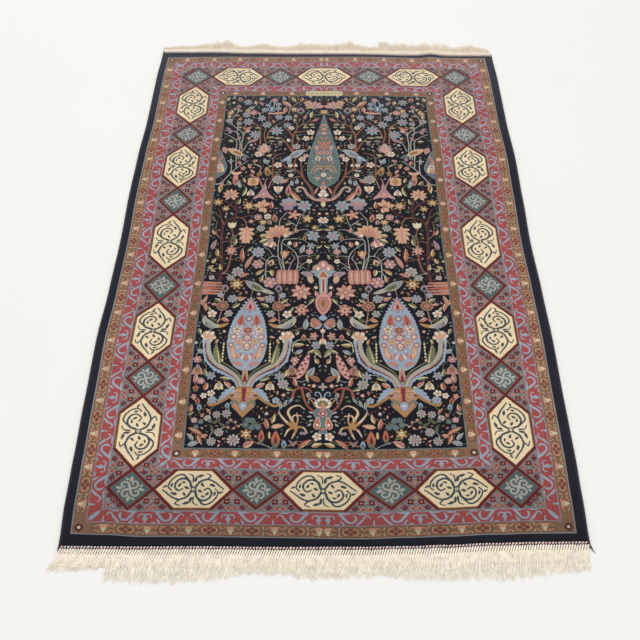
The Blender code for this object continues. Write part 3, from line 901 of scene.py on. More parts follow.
# Leaves and long petals: x, y, how far they turn clockwise from upright, length, width, and a bend
# where there is one.
LEAVES = {
    "olive": (
        (38, 112, 272, 14, 5.5), (80, 112, 88, 14, 5.5), (112, 145, 272, 18, 6), (129, 146, 88, 18, 6),
        (115, 158, 270, 16, 5.5), (136, 158, 90, 16, 5.5), (204, 100, 86, 16, 6.5),
        (190, 112, 268, 15, 6), (207, 110, 90, 12, 5), (22, 158, 285, 14, 8), (173, 147, 335, 14, 6),
        (30, 290, 330, 17, 9, 30), (65, 316, 18, 28, 8, -30), (56, 346, 15, 18, 8, 20),
        (48, 130, 8, 13, 5), (190, 103, 270, 10, 4), (88, 236, 290, 12, 5), (116, 238, 60, 12, 5),
        (113, 456, 250, 20, 12), (55, 458, 12, 18, 9, 20), (162, 408, 70, 18, 7, 25),
        (224, 424, 80, 16, 6), (216, 450, 150, 20, 6, 30), (224, 470, 60, 14, 6), (222, 497, 200, 14, 5),
        (86, 477, 40, 16, 6), (32, 606, 300, 17, 7), (159, 606, 60, 17, 7), (68, 618, 60, 18, 8),
        (123, 618, 300, 18, 8), (18, 627, 330, 14, 6), (173, 627, 30, 14, 6), (222, 724, 140, 26, 9, 30),
        (212, 722, 250, 16, 7), (25, 768, 340, 18, 7, 20), (166, 768, 20, 18, 7, -20),
        (60, 780, 284, 20, 7, -20), (131, 780, 76, 20, 7, 20), (6, 850, 60, 12, 5),
        (174, 800, 110, 16, 7), (210, 606, 40, 16, 7), (6, 678, 340, 13, 8), (186, 680, 30, 12, 7),
        (160, 510, 30, 10, 4),
    ),
    "moss": (
        (8, 30, 15, 16, 6), (133, 256, 90, 20, 5), (133, 263, 90, 18, 4), (30, 652, 290, 15, 6),
        (161, 652, 70, 15, 6), (52, 446, 30, 20, 9, 20), (5, 395, 340, 18, 7), (118, 868, 70, 14, 5),
        (50, 866, 60, 14, 5), (62, 872, 300, 14, 5), (72, 866, 40, 13, 5), (44, 876, 320, 12, 4),
        (56, 862, 350, 12, 4), (48, 884, 280, 10, 4), (106, 895, 110, 20, 6), (197, 436, 20, 12, 7),
    ),
    "gold": (
        (15, 58, 350, 16, 11), (22, 48, 335, 12, 5), (10, 74, 330, 13, 8), (72, 24, 160, 14, 9),
        (161, 11, 330, 22, 9, 25), (193, 22, 60, 20, 10, 25), (81, 62, 140, 10, 5), (62, 148, 330, 12, 7),
        (200, 178, 350, 12, 6), (12, 308, 180, 26, 10, 20), (108, 248, 0, 16, 8), (62, 282, 340, 16, 7),
        (113, 203, 60, 14, 8), (20, 487, 355, 20, 8), (15, 508, 30, 16, 8), (10, 524, 60, 14, 7),
        (16, 532, 130, 14, 7), (109, 537, 45, 22, 8, 30), (133, 538, 170, 18, 9), (113, 553, 10, 18, 7),
        (148, 858, 15, 20, 7, -20), (142, 890, 0, 15, 5), (216, 664, 110, 16, 7), (36, 98, 60, 10, 6),
        (222, 742, 150, 12, 8), (40, 700, 20, 12, 5), (151, 700, 340, 12, 5),
    ),
    "straw": (
        (5, 11, 8, 15, 8), (198, 40, 235, 24, 9, -20), (204, 66, 12, 24, 8, 20), (165, 85, 350, 13, 7),
        (30, 524, 345, 16, 7), (190, 707, 85, 20, 8), (152, 752, 30, 12, 4), (206, 775, 350, 24, 5, 30),
        (222, 908, 70, 20, 8, 25), (112, 441, 80, 18, 9),
    ),
    "peach": (
        (145, 30, 128, 30, 12, 25), (142, 49, 5, 20, 10), (167, 71, 350, 13, 8),
        (213, 84, 60, 20, 6, -35), (205, 146, 10, 14, 6), (71, 238, 345, 16, 8), (150, 285, 60, 18, 9),
        (175, 330, 320, 34, 12, 20), (52, 652, 110, 16, 8), (139, 652, 250, 16, 8), (65, 791, 305, 16, 8),
        (124, 793, 60, 18, 9), (8, 604, 15, 22, 7), (10, 622, 165, 22, 7), (3, 612, 340, 16, 6),
        (38, 82, 20, 12, 8), (33, 893, 70, 12, 7), (178, 426, 350, 14, 6), (8, 432, 330, 18, 7),
        (30, 70, 80, 11, 5),
    ),
    "coral": (
        (60, 113, 60, 18, 7), (50, 117, 250, 10, 5), (128, 59, 88, 22, 7), (180, 11, 10, 16, 8),
        (188, 74, 20, 18, 7), (115, 90, 340, 14, 6), (47, 227, 350, 13, 9), (78, 268, 320, 14, 6),
        (72, 492, 355, 36, 9, 20), (177, 464, 15, 16, 9), (80, 545, 60, 22, 8, 60),
        (137, 868, 345, 22, 8, 20), (202, 906, 50, 28, 8, 30), (28, 796, 15, 16, 9),
        (36, 845, 320, 14, 5), (26, 853, 40, 10, 5), (18, 886, 118, 34, 7, 40),
        (26, 900, 160, 22, 6, -20), (124, 600, 290, 14, 5), (70, 600, 70, 14, 5), (5, 840, 10, 16, 8),
        (190, 618, 60, 14, 6), (183, 785, 345, 20, 7), (125, 355, 0, 22, 8),
    ),
    "rose": (
        (78, 602, 62, 18, 8), (113, 602, 298, 18, 8), (87, 510, 22, 38, 9, 25), (78, 255, 330, 16, 7),
        (14, 296, 30, 18, 7), (108, 907, 60, 22, 11), (26, 616, 280, 14, 6), (165, 616, 80, 14, 6),
        (37, 53, 295, 10, 6), (8, 778, 5, 24, 8), (182, 746, 10, 14, 6),
    ),
    "mist": (
        (18, 6, 20, 13, 6), (62, 42, 78, 15, 8), (85, 10, 60, 16, 9), (31, 51, 0, 18, 5),
        (158, 222, 20, 22, 9, 20), (160, 253, 88, 18, 6), (165, 290, 350, 18, 8), (176, 285, 5, 18, 8),
        (55, 292, 345, 26, 9, 70), (191, 476, 20, 24, 10), (8, 895, 320, 18, 7, -40),
        (15, 908, 70, 20, 9, 30), (201, 660, 5, 26, 10), (104, 222, 345, 18, 9), (110, 224, 30, 16, 8),
        (28, 222, 0, 20, 5), (28, 222, 90, 18, 5), (168, 828, 20, 14, 5), (160, 832, 355, 16, 6),
        (178, 822, 40, 12, 5), (138, 8, 350, 16, 9), (12, 722, 300, 16, 8), (190, 722, 60, 16, 8),
        (212, 764, 30, 22, 12),
    ),
    "mauve": (
        (86, 28, 150, 15, 8), (12, 117, 300, 14, 8), (17, 127, 20, 13, 8), (40, 148, 40, 15, 7),
        (78, 152, 40, 22, 9), (68, 158, 60, 16, 7), (57, 216, 340, 13, 8), (12, 466, 15, 28, 9, 25),
        (200, 541, 285, 26, 12, -25), (208, 552, 350, 26, 12, 20), (180, 905, 320, 16, 4),
        (184, 905, 40, 14, 4), (217, 690, 350, 14, 8), (48, 204, 100, 16, 6), (123, 404, 350, 15, 8),
        (98, 200, 20, 12, 7),
    ),
}

# Buds in a cup: x, y, turn, length, width.
BUDS = {
    "rose": ((33, 12, 340, 18, 12), (31, 38, 0, 13, 12), (159, 312, 0, 36, 13), (60, 62, 30, 12, 8)),
    "salmon": ((133, 392, 350, 24, 11), (44, 290, 180, 18, 9), (198, 690, 0, 16, 9)),
    "mauve": ((178, 52, 0, 24, 18), (44, 576, 0, 18, 14), (147, 576, 0, 18, 14), (135, 166, 20, 12, 9)),
    "ivory": ((156, 441, 0, 11, 8), (165, 461, 5, 13, 8), (172, 236, 0, 10, 6), (153, 154, 340, 14, 8)),
    "lake": ((20, 838, 0, 14, 8), (68, 834, 0, 12, 8), (167, 907, 0, 16, 9), (208, 812, 330, 12, 6)),
    "gold": ((112, 256, 0, 24, 14), (195, 447, 0, 13, 9), (94, 262, 20, 16, 10)),
    "coral": ((153, 897, 0, 32, 15), (129, 892, 0, 26, 10), (10, 800, 0, 13, 9), (16, 826, 0, 13, 8)),
    "peach": ((82, 222, 60, 14, 9), (176, 205, 40, 12, 7), (130, 512, 20, 18, 13)),
}

# Round flowers: x, y, radius, petals.
FLOWERS = {
    "star": (
        (52, 22, 11, 7), (94, 50, 9, 6), (52, 67, 11, 7), (88, 80, 11, 7), (57, 92, 13, 7),
        (101, 102, 12, 7), (128, 75, 10, 7), (150, 77, 10, 7), (148, 103, 10, 7), (76, 135, 14, 8),
        (125, 122, 16, 8), (208, 468, 9, 6), (126, 45, 8, 6), (125, 30, 8, 6), (100, 33, 6, 6),
        (156, 774, 9, 6), (35, 774, 9, 6),
    ),
    "blossom": (
        (202, 128, 9, 5), (192, 148, 8, 5), (88, 200, 9, 6), (133, 234, 9, 5), (162, 266, 6, 5),
        (185, 216, 8, 5), (158, 113, 7, 5), (24, 690, 14, 6), (167, 690, 14, 6), (25, 638, 9, 5),
        (166, 638, 9, 5), (75, 800, 5, 5), (25, 815, 6, 5), (38, 810, 7, 5), (222, 892, 8, 5),
        (160, 236, 6, 5), (230, 398, 9, 6), (205, 508, 6, 5), (118, 388, 8, 6),
    ),
    "pink": (
        (58, 123, 6, 6), (116, 15, 7, 6), (104, 516, 11, 6), (68, 60, 8, 6), (8, 740, 7, 6),
        (183, 740, 7, 6), (205, 483, 7, 6), (130, 562, 13, 6), (193, 205, 6, 5), (13, 863, 5, 5),
        (98, 390, 8, 7), (18, 785, 6, 5),
    ),
    "straw": (
        (36, 859, 6, 7), (51, 852, 7, 8), (68, 850, 8, 8), (57, 886, 8, 8), (45, 903, 8, 8),
        (56, 637, 8, 6), (82, 900, 11, 9), (105, 421, 9, 8), (136, 280, 13, 8), (65, 536, 12, 7),
        (163, 790, 10, 8), (135, 637, 8, 6), (15, 551, 6, 4), (12, 88, 8, 6), (36, 98, 7, 6),
        (172, 175, 9, 6), (52, 551, 8, 6),
    ),
    "gold star": (
        (11, 348, 11, 7), (29, 366, 9, 6), (77, 358, 13, 7), (54, 52, 8, 6), (163, 48, 10, 8),
        (230, 57, 9, 6), (65, 567, 14, 8), (215, 418, 7, 6), (12, 62, 8, 6), (103, 888, 10, 6),
        (109, 404, 9, 6), (200, 394, 12, 5),
    ),
    "blue": (
        (103, 485, 13, 8), (212, 441, 13, 6), (193, 357, 15, 7), (60, 602, 9, 7), (131, 602, 9, 7),
        (42, 824, 7, 6), (36, 593, 6, 5), (155, 593, 6, 5), (220, 707, 8, 6),
    ),
    "coral": (
        (10, 800, 6, 5), (8, 817, 6, 5), (57, 245, 7, 5), (84, 402, 6, 6), (48, 481, 12, 7),
        (192, 628, 14, 7), (216, 686, 8, 5), (84, 866, 3, 4), (90, 874, 3, 4), (76, 862, 3, 4),
        (82, 878, 3, 4), (72, 876, 3, 4),
    ),
    "grey": (
        (105, 862, 6, 6), (113, 863, 6, 6), (101, 871, 6, 6), (112, 876, 6, 6), (123, 875, 6, 6),
        (25, 866, 5, 5), (17, 876, 5, 5), (40, 864, 4, 5),
    ),
}
Blossom = namedtuple("Blossom", "petal edge heart eye depth sharp")
COLOURWAYS = {
    "star": Blossom("mist", None, "mauve", "rose", 0.5, 1.3),
    "blossom": Blossom("ivory", None, "peach", "coral", 0.34, 0.8),
    "pink": Blossom("pink", "mauve", "rose", "ivory", 0.3, 0.9),
    "straw": Blossom("ash", None, "mauve", "rose", 0.24, 0.8),
    "gold star": Blossom("gold", None, "straw", "coral", 0.5, 1.3),
    "blue": Blossom("mist", "pewter", "mauve", "pink", 0.42, 1.0),
    "coral": Blossom("rose", None, "peach", "garnet", 0.5, 1.2),
    "grey": Blossom("spruce", None, "moss", "mauve", 0.3, 0.9),
}


def dark_cypress(pen):
    """The tall cypress on the middle axis and the scrolls that it stands in."""
    pen.fill(turned((68, 0.6), (84, 3), (105, 8), (140, 17), (180, 26), (215, 32), (245, 34.5), (270, 32),
                    (288, 24), (299, 10), (303, 0.5)), "spruce", "mist")
    for k in range(26):
        y = 92 + 7.6 * k
        wide = np.interp(y, (84, 140, 215, 250, 275), (3, 17, 31, 33, 29))
        for side in pen.both():
            side.dot(wide, y, 2.2, "spruce")
    chance = random.Random(12)
    for k in range(90):
        y = chance.uniform(100, 288)
        x = chance.uniform(0, 0.9) * np.interp(y, (84, 140, 215, 250, 290), (3, 16, 30, 32, 22))
        dye = chance.choice(("pink", "salmon", "ash", "maroon", "olive"))
        for side in pen.both():
            side.dot(x, y, 1.7, dye)
    for y, size in ((104, 10), (117, 12), (132, 13)):
        tulip(pen.at(0, y), size, "rose", "peach", "garnet")
    pen.fill(turned((140, 1), (146, 4), (152, 4), (157, 0.5)), "bark")
    rosette(pen.at(0, 172), 13, 8, "rose", "garnet", heart="gold", eye="bark")
    rosette(pen.at(0, 194), 9, 6, "mauve", "pink", heart="salmon")
    rosette(pen.at(0, 265), 6, 6, "ivory", "rose", heart="coral")
    pen.dot(0, 216, 4, "coral")
    for side in pen.both():
        leaf(side.at(11, 161, 35), 14, 8, "salmon", vein="garnet")
        leaf(side.at(17, 178, 60), 12, 7, "peach")
        rosette(side.at(13, 196), 5, 5, "pink", None, heart="garnet")
        rosette(side.at(13, 214), 7, 5, "ivory", None, heart="gold", eye="maroon")
        leaf(side.at(24, 222, 70), 9, 5, "mauve")
        side.line([(3, 240), (10, 235), (19, 238), (25, 247), (26, 260)], 4.6, "gold", 2)
        side.line([(4, 246), (12, 244), (18, 252)], 2.6, "peach", 1.5)
        leaf(side.at(6, 252, 150), 9, 4, "garnet")
        leaf(side.at(14, 275, 70), 14, 5, "peach")
        leaf(side.at(10, 287, 110), 10, 5, "moss")
        leaf(side.at(21, 266, 20), 10, 4, "moss")
        scroll_rim = [(4, 340), (18, 338), (32, 324), (40, 308), (49, 302), (56, 308), (53, 316), (48, 314)]
        scroll_body = [(2, 341), (18, 339), (32, 325), (40, 309), (49, 303), (55, 308), (52, 315)]
        side.line(scroll_rim, 8, "pewter", 4)
        side.line(scroll_body, 5, "peach", 2.4)
        side.line([(14, 340), (28, 330), (37, 314), (46, 306)], 1.6, "garnet", 1)
        leaf(side.at(13, 312, 340), 26, 5, "rose", bend=-30)
    pen.fill(turned((296, 1), (302, 5), (308, 4), (312, 1)), "salmon", "ivory")
    rosette(pen.at(0, 322), 11, 3, "ivory", "mist", heart="peach", depth=0.4)
    rosette(pen.at(0, 340), 9, 6, "pink", "garnet", heart="salmon")
    leaf(pen.at(0, 353, 180), 16, 9, "straw", "gold")
    leaf(pen.at(0, 290), 14, 7, "salmon", "garnet")


def light_cypress(pen):
    """The light-blue cypress with its spire, standing between two horns of acanthus in a gold vase."""
    crown = turned((598, 0.5), (607, 4), (625, 15), (650, 27), (680, 33.5), (708, 35), (732, 31),
                   (750, 23), (760, 11), (763, 0.5))
    pen.fill(crown, "lake", "ash")
    chance = random.Random(11)
    for k in range(120):
        x, y = chance.uniform(1, 31), chance.uniform(668, 742)
        dye = chance.choice(("ivory", "pink", "rose", "ash"))
        for side in pen.both():
            side.dot(x, y, 1.8, dye)
    for k in range(22):
        y = 604 + 7.2 * k
        wide = np.interp(y, (600, 625, 650, 680, 708, 732, 750, 762), (4, 17, 27, 33.5, 35, 31, 23, 9))
        for side in pen.both():
            tuft = np.array([wide - 2 + (y - 3) * 1j, wide + 3 + (y - 2) * 1j, wide - 2 + (y + 3) * 1j])
            side.fill(tuft, "lake")
    pen.fill(turned((602, 0.5), (612, 5), (622, 9), (630, 10), (626, 4), (634, 1)), "pink", "garnet")
    leaf(pen.at(0, 621), 14, 5, "garnet")
    pen.fill(lobes(7, 4, 0.2) + 649j, "mauve", "bark")
    pen.dot(0, 649, 2.6, "ivory")
    rosette(pen.at(0, 675), 7, 6, "coral", "garnet", heart="gold")
    rosette(pen.at(0, 692), 9, 8, "pink", "garnet", heart="ivory", eye="garnet")
    lotus(pen.at(0, 712), 15, "peach", "rose", "ivory", "coral")
    leaf(pen.at(0, 736), 14, 7, "salmon", "garnet")
    for side in pen.both():
        leaf(side.at(14.5, 651, 352), 26, 12, "coral", "rose", vein="garnet", belly=0.3)
        rosette(side.at(20, 673), 7.5, 5, "ivory", "coral", heart="gold")
        rosette(side.at(25, 690), 6, 5, "pink", "garnet", heart="ivory")
        rosette(side.at(14, 700), 6, 5, "peach", "bark", heart="gold")
        leaf(side.at(8, 662, 30), 9, 4, "coral")
        rosette(side.at(28.5, 708), 5, 5, "rose", "garnet", heart="ivory")
        leaf(side.at(22, 724, 14), 30, 8, "peach", "coral", bend=-40)
        leaf(side.at(13, 732, 330), 12, 5, "pink", "garnet")
        leaf(side.at(15, 748, 75), 19, 8, "rose", "salmon")
        leaf(side.at(9, 754, 120), 9, 4, "mauve")
    pen.fill(turned((756, 0.5), (764, 3), (775, 4.5), (788, 8), (798, 10), (803, 11)), "rose", "straw")
    pen.fill(turned((770, 0.5), (782, 3), (792, 4), (800, 3)), "garnet")
    rosette(pen.at(0, 793), 6, 6, "mauve", "ivory", heart="pewter")
    for side in pen.both():
        outer = [(9, 802), (18, 783), (35, 770), (52, 761), (66, 749), (75, 732), (78, 713), (77, 697)]
        middle = [(8, 798), (17, 779), (33, 766), (50, 756), (63, 745), (71, 729), (74, 712), (75, 696)]
        inner = [(7, 793), (16, 775), (32, 762), (47, 752), (59, 741), (67, 726), (70, 710), (71, 696)]
        side.line(outer, 5, "lake", 3)
        for k in range(15):
            x = np.interp(k, (0, 3, 6, 9, 14), (16, 38, 60, 77, 84))
            y = np.interp(k, (0, 3, 6, 9, 14), (792, 775, 764, 744, 704))
            leaf(side.at(x - 4, y - 3, 64 - 4 * k), 11, 4.6, "lake")
        side.line(inner, 8, "ash", 8)
        side.line(middle, 2, "coral", 1.4)
        side.line([(3, 790), (11, 770), (26, 756), (42, 745), (53, 733), (60, 716)], 3, "olive", 2)
        leaf(side.at(51, 727, 12), 46, 13, "olive", "moss", vein="straw", bend=-30, teeth=7)
        for k in range(6):
            side.dot(42 + 0.4 * (k % 2), 706 + 7 * k, 2.0, "straw")
        side.line([(42, 702), (43, 744)], 1.0, "straw")
        for angle in (-70, -20, 30):
            leaf(side.at(74, 694, angle).at(0, -9), 17, 7, "peach" if angle else "ivory", vein="rose")
    vase = turned((797, 3), (799, 16), (804, 28), (812, 29), (820, 23), (828, 18), (837, 18), (847, 9),
                  (857, 0.5))
    pen.fill(vase, "gold", "maroon")
    for side in pen.both():
        for x, y, turn in ((22, 803, 50), (28, 806, 70), (33, 811, 85), (36, 817, 100), (39, 823, 110)):
            leaf(side.at(x, y, turn), 13, 8, "lake", "pewter")
        side.line([(24, 815), (36, 824), (48, 832), (57, 834), (61, 828), (56, 824)], 6.5, "gold", 3.5)
        side.line([(26, 817), (38, 826), (50, 834), (56, 835)], 1.6, "bark", 1)
        rosette(side.at(56, 823), 6, 5, "lake", "pewter", heart="mauve")
        side.line([(6, 806), (13, 804), (21, 811), (12, 818), (5, 812)], 2.0, "peach", 1.4)
        rosette(side.at(13, 812), 4, 4, "pink", "bark", heart="pewter")
        side.line([(4, 822), (12, 822), (20, 816), (28, 820)], 1.8, "mauve", 1)
        leaf(side.at(21, 814, 100), 9, 4, "garnet")
        side.line([(2, 838), (9, 830), (17, 824), (20, 832), (14, 842)], 4.2, "spruce", 2)
        side.line([(3, 843), (10, 836), (16, 830)], 1.8, "salmon", 1)
        leaf(side.at(17, 835, 160), 8, 4, "salmon")
    pen.fill(turned((797, 2), (802, 4), (814, 2.4), (826, 3), (829, 0.5)), "garnet", "coral")
    pen.fill(turned((826, 1), (832, 7), (838, 6), (845, 0.5)), "lake", "garnet")
    pen.dot(0, 834, 2.2, "ivory")


def finial(pen):
    """The three-lobed crown, neck and urn in the middle of the garden."""
    for x, y in ((-11, 526), (11, 526), (0, 516)):
        pen.dot(x, y, 9, "salmon", "mist")
        pen.dot(x, y, 5.4, "pink")
        pen.fill(blade(13, 5) + complex(x * 0.9, y + 7), "ivory")
    neck = turned((528, 2), (536, 13), (543, 17), (549, 10), (556, 8), (586, 7), (592, 9))
    pen.fill(neck, "mist", "spruce")
    pen.fill(turned((532, 0.5), (540, 5), (548, 8), (549, 0.5)), "coral", "ivory")
    pen.fill(turned((551, 3), (586, 3.4)), "salmon", "ivory")
    pen.line([(0, 556), (0, 584)], 1.6, "garnet")
    for side in pen.both():
        leaf(side.at(17, 535, 75), 16, 7, "mist", "spruce")
        leaf(side.at(12.5, 590, 18), 18, 7, "pink", "garnet")
        leaf(side.at(31, 541, 62), 22, 11, "mauve", "ash", vein="gold")
        leaf(side.at(25, 553, 18), 20, 10, "peach", "mauve")
    pen.fill(turned((588, 6), (600, 14), (614, 14.5), (628, 10), (640, 0.5)), "pink", "garnet")
    pen.fill(turned((598, 5), (610, 9), (624, 6), (632, 0.5)), "salmon", "garnet")
    pen.fill(turned((602, 0.5), (608, 3.6), (616, 3.6), (622, 0.5)), "bark", "gold")
    pen.fill(turned((641, 3), (646, 7), (651, 2)), "lake", "mist")
    for side in pen.both():
        side.fill(smooth([(2, 662), (8, 652), (18, 647), (21, 655), (16, 668), (7, 670)], 4), "coral", "lake")
        side.line([(4, 663), (11, 657), (17, 652)], 2.2, "lake", 1)
        leaf(side.at(9, 668, 120), 12, 5, "lake")
    pen.line([(0, 668), (0, 694)], 2, "ash")
    rosette(pen.at(0, 675), 5, 5, "peach", None, heart="ivory")
    tulip(pen.at(0, 698, 180), 15, "ivory", "peach", "coral")


def garden_vase(pen):
    """The small teal vase at the near end, with its handles, arch and leaves."""
    pen.fill(turned((838, 9), (846, 15), (856, 12), (868, 7), (880, 5), (886, 8)), "spruce", "mist")
    pen.fill(turned((817, 3), (822, 11), (829, 15), (836, 11), (838, 2)), "ivory", "bark")
    pen.fill(turned((822, 3), (828, 9), (834, 7), (836, 1)), "olive")
    pen.fill(turned((826, 1), (833, 4), (842, 3)), "salmon")
    pen.fill(rhombus(9, 9) + 848j, "pink", "garnet")
    rosette(pen.at(0, 848), 5.4, 4, "garnet", None, heart="ivory")
    rosette(pen.at(0, 878), 4, 5, "coral", None, heart="gold")
    rosette(pen.at(0, 795), 8, 4, "mist", None, heart="salmon", depth=0.6, sharp=1.8)
    for side in pen.both():
        leaf(side.at(9.5, 866, 352), 24, 10, "coral", "ivory", belly=0.3)
        side.dot(9.5, 870, 2.4, "ivory")
        side.line([(2, 818), (5, 808), (11, 806), (13, 812), (9, 813)], 2.6, "mist", 1.2)
        side.line([(8, 826), (17, 818), (24, 820), (24, 828)], 2.4, "mist", 1.2)
        side.line([(12, 832), (20, 822), (28, 812), (22, 806)], 2.6, "gold", 1.2)
        leaf(side.at(14, 778, 60), 20, 9, "bark", "coral")
        for k in range(4):
            leaf(side.at(20 + 3 * (k % 2), 846 + 8 * k, 70 + 20 * k), 9, 3.4, "ash")


def acanthus(pen):
    """Golden leaves that curl out of one root beside the vase."""
    curls = (
        ([(186, 874), (178, 858), (173, 846), (180, 836), (192, 833), (201, 840)], 6.5),
        ([(186, 874), (180, 862), (184, 852), (196, 853)], 4.5),
        ([(186, 876), (172, 866), (162, 854), (158, 846)], 7.0),
        ([(186, 874), (174, 880), (168, 892)], 6.0),
        ([(188, 876), (184, 888), (180, 896)], 5.0),
        ([(188, 874), (200, 876), (206, 886)], 4.6),
        ([(187, 872), (190, 860), (188, 848)], 3.6),
    )
    for points, width in curls:
        pen.line(points, width, "gold", 2.2)
        pen.line(points[1:], width * 0.35, "ivory", 0.8)
    leaf(pen.at(156, 873, 80), 22, 9, "peach", "bark", teeth=5)
    for x in (196, 201):
        pen.dot(x, 886, 3, "mauve")


def special_flowers(pen):
    """The larger flowers and leaves that occur once in each half of the garden."""
    lotus(pen.at(100, 184), 27, "pewter", "pink", "peach", "rose")
    for angle, dye in ((-24, "peach"), (24, "peach"), (0, "ash")):
        leaf(pen.at(100, 174, angle), 20, 7, dye, vein="salmon")
    fan(pen.at(208, 43, 8), 5, 160, 25, 11, "pink", "mauve", "maroon", 0.62)
    pen.line([(104, 62), (122, 63), (140, 60)], 5, "peach", 3)
    crown = pen.at(107, 318)
    crown.fill(turned((-24, 0.5), (-10, 4), (0, 9), (10, 15), (20, 22), (14, 8), (18, 0.5)), "rose", "mauve")
    leaf(crown.at(0, -2), 26, 7, "mauve", vein="ivory")
    for side in crown.both():
        leaf(side.at(13, 13, 118), 22, 8, "pink", vein="mauve")
    sword = pen.at(43, 268)
    leaf(sword.at(0, 8), 42, 12, "salmon", vein="peach")
    for side in sword.both():
        leaf(side.at(6, -8, 52), 16, 8, "peach")
    maple = pen.at(76, 424, 180)
    for side in maple.both():
        for turn, length, y in ((100, 17, -2), (62, 20, -6), (38, 22, -12), (24, 18, -22)):
            side.at(0, y, turn).fill(blade(length, 9, belly=0.5), "peach")
    leaf(maple.at(0, -16), 50, 17, "peach", teeth=6)
    maple.line([(0, 4), (0, -34)], 1.6, "salmon", 1)
    orchid = pen.at(161, 352)
    for turn in (-90, -45, 0, 48, 92, 165, 205):
        orchid.at(0, 0, turn).fill(blade(19, 11, 10, 0.6), "mist" if abs(turn) < 50 else "mauve", "pewter")
    fan(orchid, 5, 300, 10, 5, "rose", "pink")
    lily = pen.at(107, 360)
    for turn, length in ((-75, 24), (-35, 20), (8, 24), (50, 20), (165, 22), (205, 18)):
        lily.at(0, 0, turn).fill(blade(0.9 * length, 10, 20, 0.55), "peach", "maroon")
    lily.dot(0, 0, 4, "coral")
    fan(pen.at(142, 440, -12), 7, 200, 29, 11, "peach", "rose", "bark", 0.66)
    fan(pen.at(142, 440, -12), 7, 200, 23, 3, "salmon", None, None, 0.6)
    fan(pen.at(128, 452, 200), 4, 120, 20, 8, "pink", "rose", "rose")
    tulip(pen.at(124, 462, 200), 20, "ivory", "rose", "mauve")
    fan(pen.at(37, 326), 9, 330, 18, 7, "peach", "rose", "maroon", 0.5)
    pen.fill(lobes(14, 4, 0.25) * np.exp(0.78j) + complex(82, 286), "peach")
    leaf(pen.at(82, 286), 18, 10, "gold", "coral")
    tulip(pen.at(45, 414), 20, "straw", "ivory", "bark")
    tulip(pen.at(137, 309), 22, "ivory", "peach", "mist")
    tulip(pen.at(79, 320, 180), 18, "ivory", "pink", "mist")
    tulip(pen.at(156, 490), 20, "gold", "peach", "rose")
    for x, y, size, petals in ((190, 585, 20, 8), (172, 383, 15, 5)):
        star = pen.at(x, y)
        for k in range(petals):
            petal = star.at(0, 0, 360 / petals * k + 15)
            petal.fill(blade(size, size * 0.42, 10, 0.55), "peach" if k % 2 else "rose", "maroon")
        rosette(star, size * 0.4, 6, "rose", heart="peach")
    pot = pen.at(TREE_AXIS, 619)
    for side in pot.both():
        rosette(side.at(53, 0), 11, 10, "bark", "rose", heart="salmon", eye="garnet", depth=0.15)
    for mirrored in (False, True):
        bell = pen.at(TREE_AXIS, 795, mirrored=mirrored).at(45, 0)
        tulip(bell.at(0, 0, 180), 18, "straw", "peach", "gold")
        rosette(bell.at(0, -1), 4, 5, "pewter")
    for x, turn in ((10, 180), (178, 170)):
        tulip(pen.at(x, 763, turn), 22, "rose", "bark", "mauve")
    scaled = pen.at(197, 752, 22)
    leaf(scaled, 60, 15, "pink", "garnet", bend=-20)
    for k in range(9):
        scaled.dot(2.4 if k % 2 else -2.4, -24 + 6 * k, 2.2, "garnet")
        scaled.dot(-2.4 if k % 2 else 2.4, -23 + 6 * k, 1.3, "ivory")
    vase = pen.at(163, 548)
    for x in (-15, 15, -5, 5):
        vase.at(x, 0).fill(turned((-17, 3), (-13, 5.6), (0, 6.6), (13, 5.4), (18, 2)), "rose", "garnet")
        vase.at(x, 0).fill(turned((-12, 1), (-4, 2.4), (8, 2), (13, 0.5)), "peach")
    half_vase = pen.at(0, 577)
    for k, dye in enumerate(("salmon", "rose", "coral", "rose", "salmon")):
        half_vase.line([(0, 6 * k - 12), (14, 6.4 * k - 13), (34 + (k % 2) * 4, 6.6 * k - 13)], 8, dye, 4)
    medallion = pen.at(0, 236)
    shield = turned((-46, 2), (-30, 9), (-12, 15), (4, 20), (22, 17), (36, 6), (40, 0.5))
    medallion.fill(shield, "spruce", "mist")
    medallion.fill(turned((-16, 3), (0, 12), (18, 14), (24, 5)), "rose", "garnet")
    rosette(medallion.at(6, 4), 7, 6, "ivory", "peach", heart="mauve")
    leaf(medallion.at(5, -22, 20), 20, 7, "salmon", vein="garnet")
    leaf(medallion.at(13, 14, 5), 16, 6, "straw")
    pendant = pen.at(110, 44)
    for side in pendant.both():
        side.line([(1, -30), (5, -18), (5, -6), (8, 4), (4, 12), (0, 14)], 2.6, "lake", 1.6)
    leaf(pendant.at(0, 2), 18, 7, "lake", "mist")


def tendrils(pen):
    """Thin stems that join each flower, bud and leaf to the next stem or flower."""
    joints = [complex(*point) for dye, width, points in STEMS for point in points]
    tables = (*BUDS.values(), *FLOWERS.values(), *LEAVES.values())
    heads = [complex(*row[:2]) for rows in tables for row in rows]
    heads.sort(key=lambda head: min(abs(head - joint) for joint in joints))
    for number, head in enumerate(heads):
        joint = min(joints, key=lambda place: abs(place - head) if abs(place - head) > 5 else 999)
        way = joint - head
        side = 0.22j * way * (1 if way.real * way.imag > 0 else -1)
        if abs(way) < 46:
            dye = ("bark", "ash", "olive", "rust", "pewter")[number % 5]
            pen.line([joint, head + 0.6 * way + side, head + 0.25 * way + 0.8 * side, head], 1.5, dye, 1.2)
            joints.append(head)


def birds(pen):
    leaf(pen.at(12, 188, 160), 24, 13, "rose", vein="mauve")
    bird(pen.at(20, 184, 120), 40, 16, "peach", "gold", "spruce")
    bird(pen.at(188, 187, 233), 42, 17, "mist", "pewter", "lake")
    bird(pen.at(84, 560, 122), 44, 16, "pewter", "olive", "ash", -16)
    for side in pen.at(TREE_AXIS, 0).both():
        bird(side.at(-85, 645, 128), 42, 13, "ash", "pewter", "gold", -85)


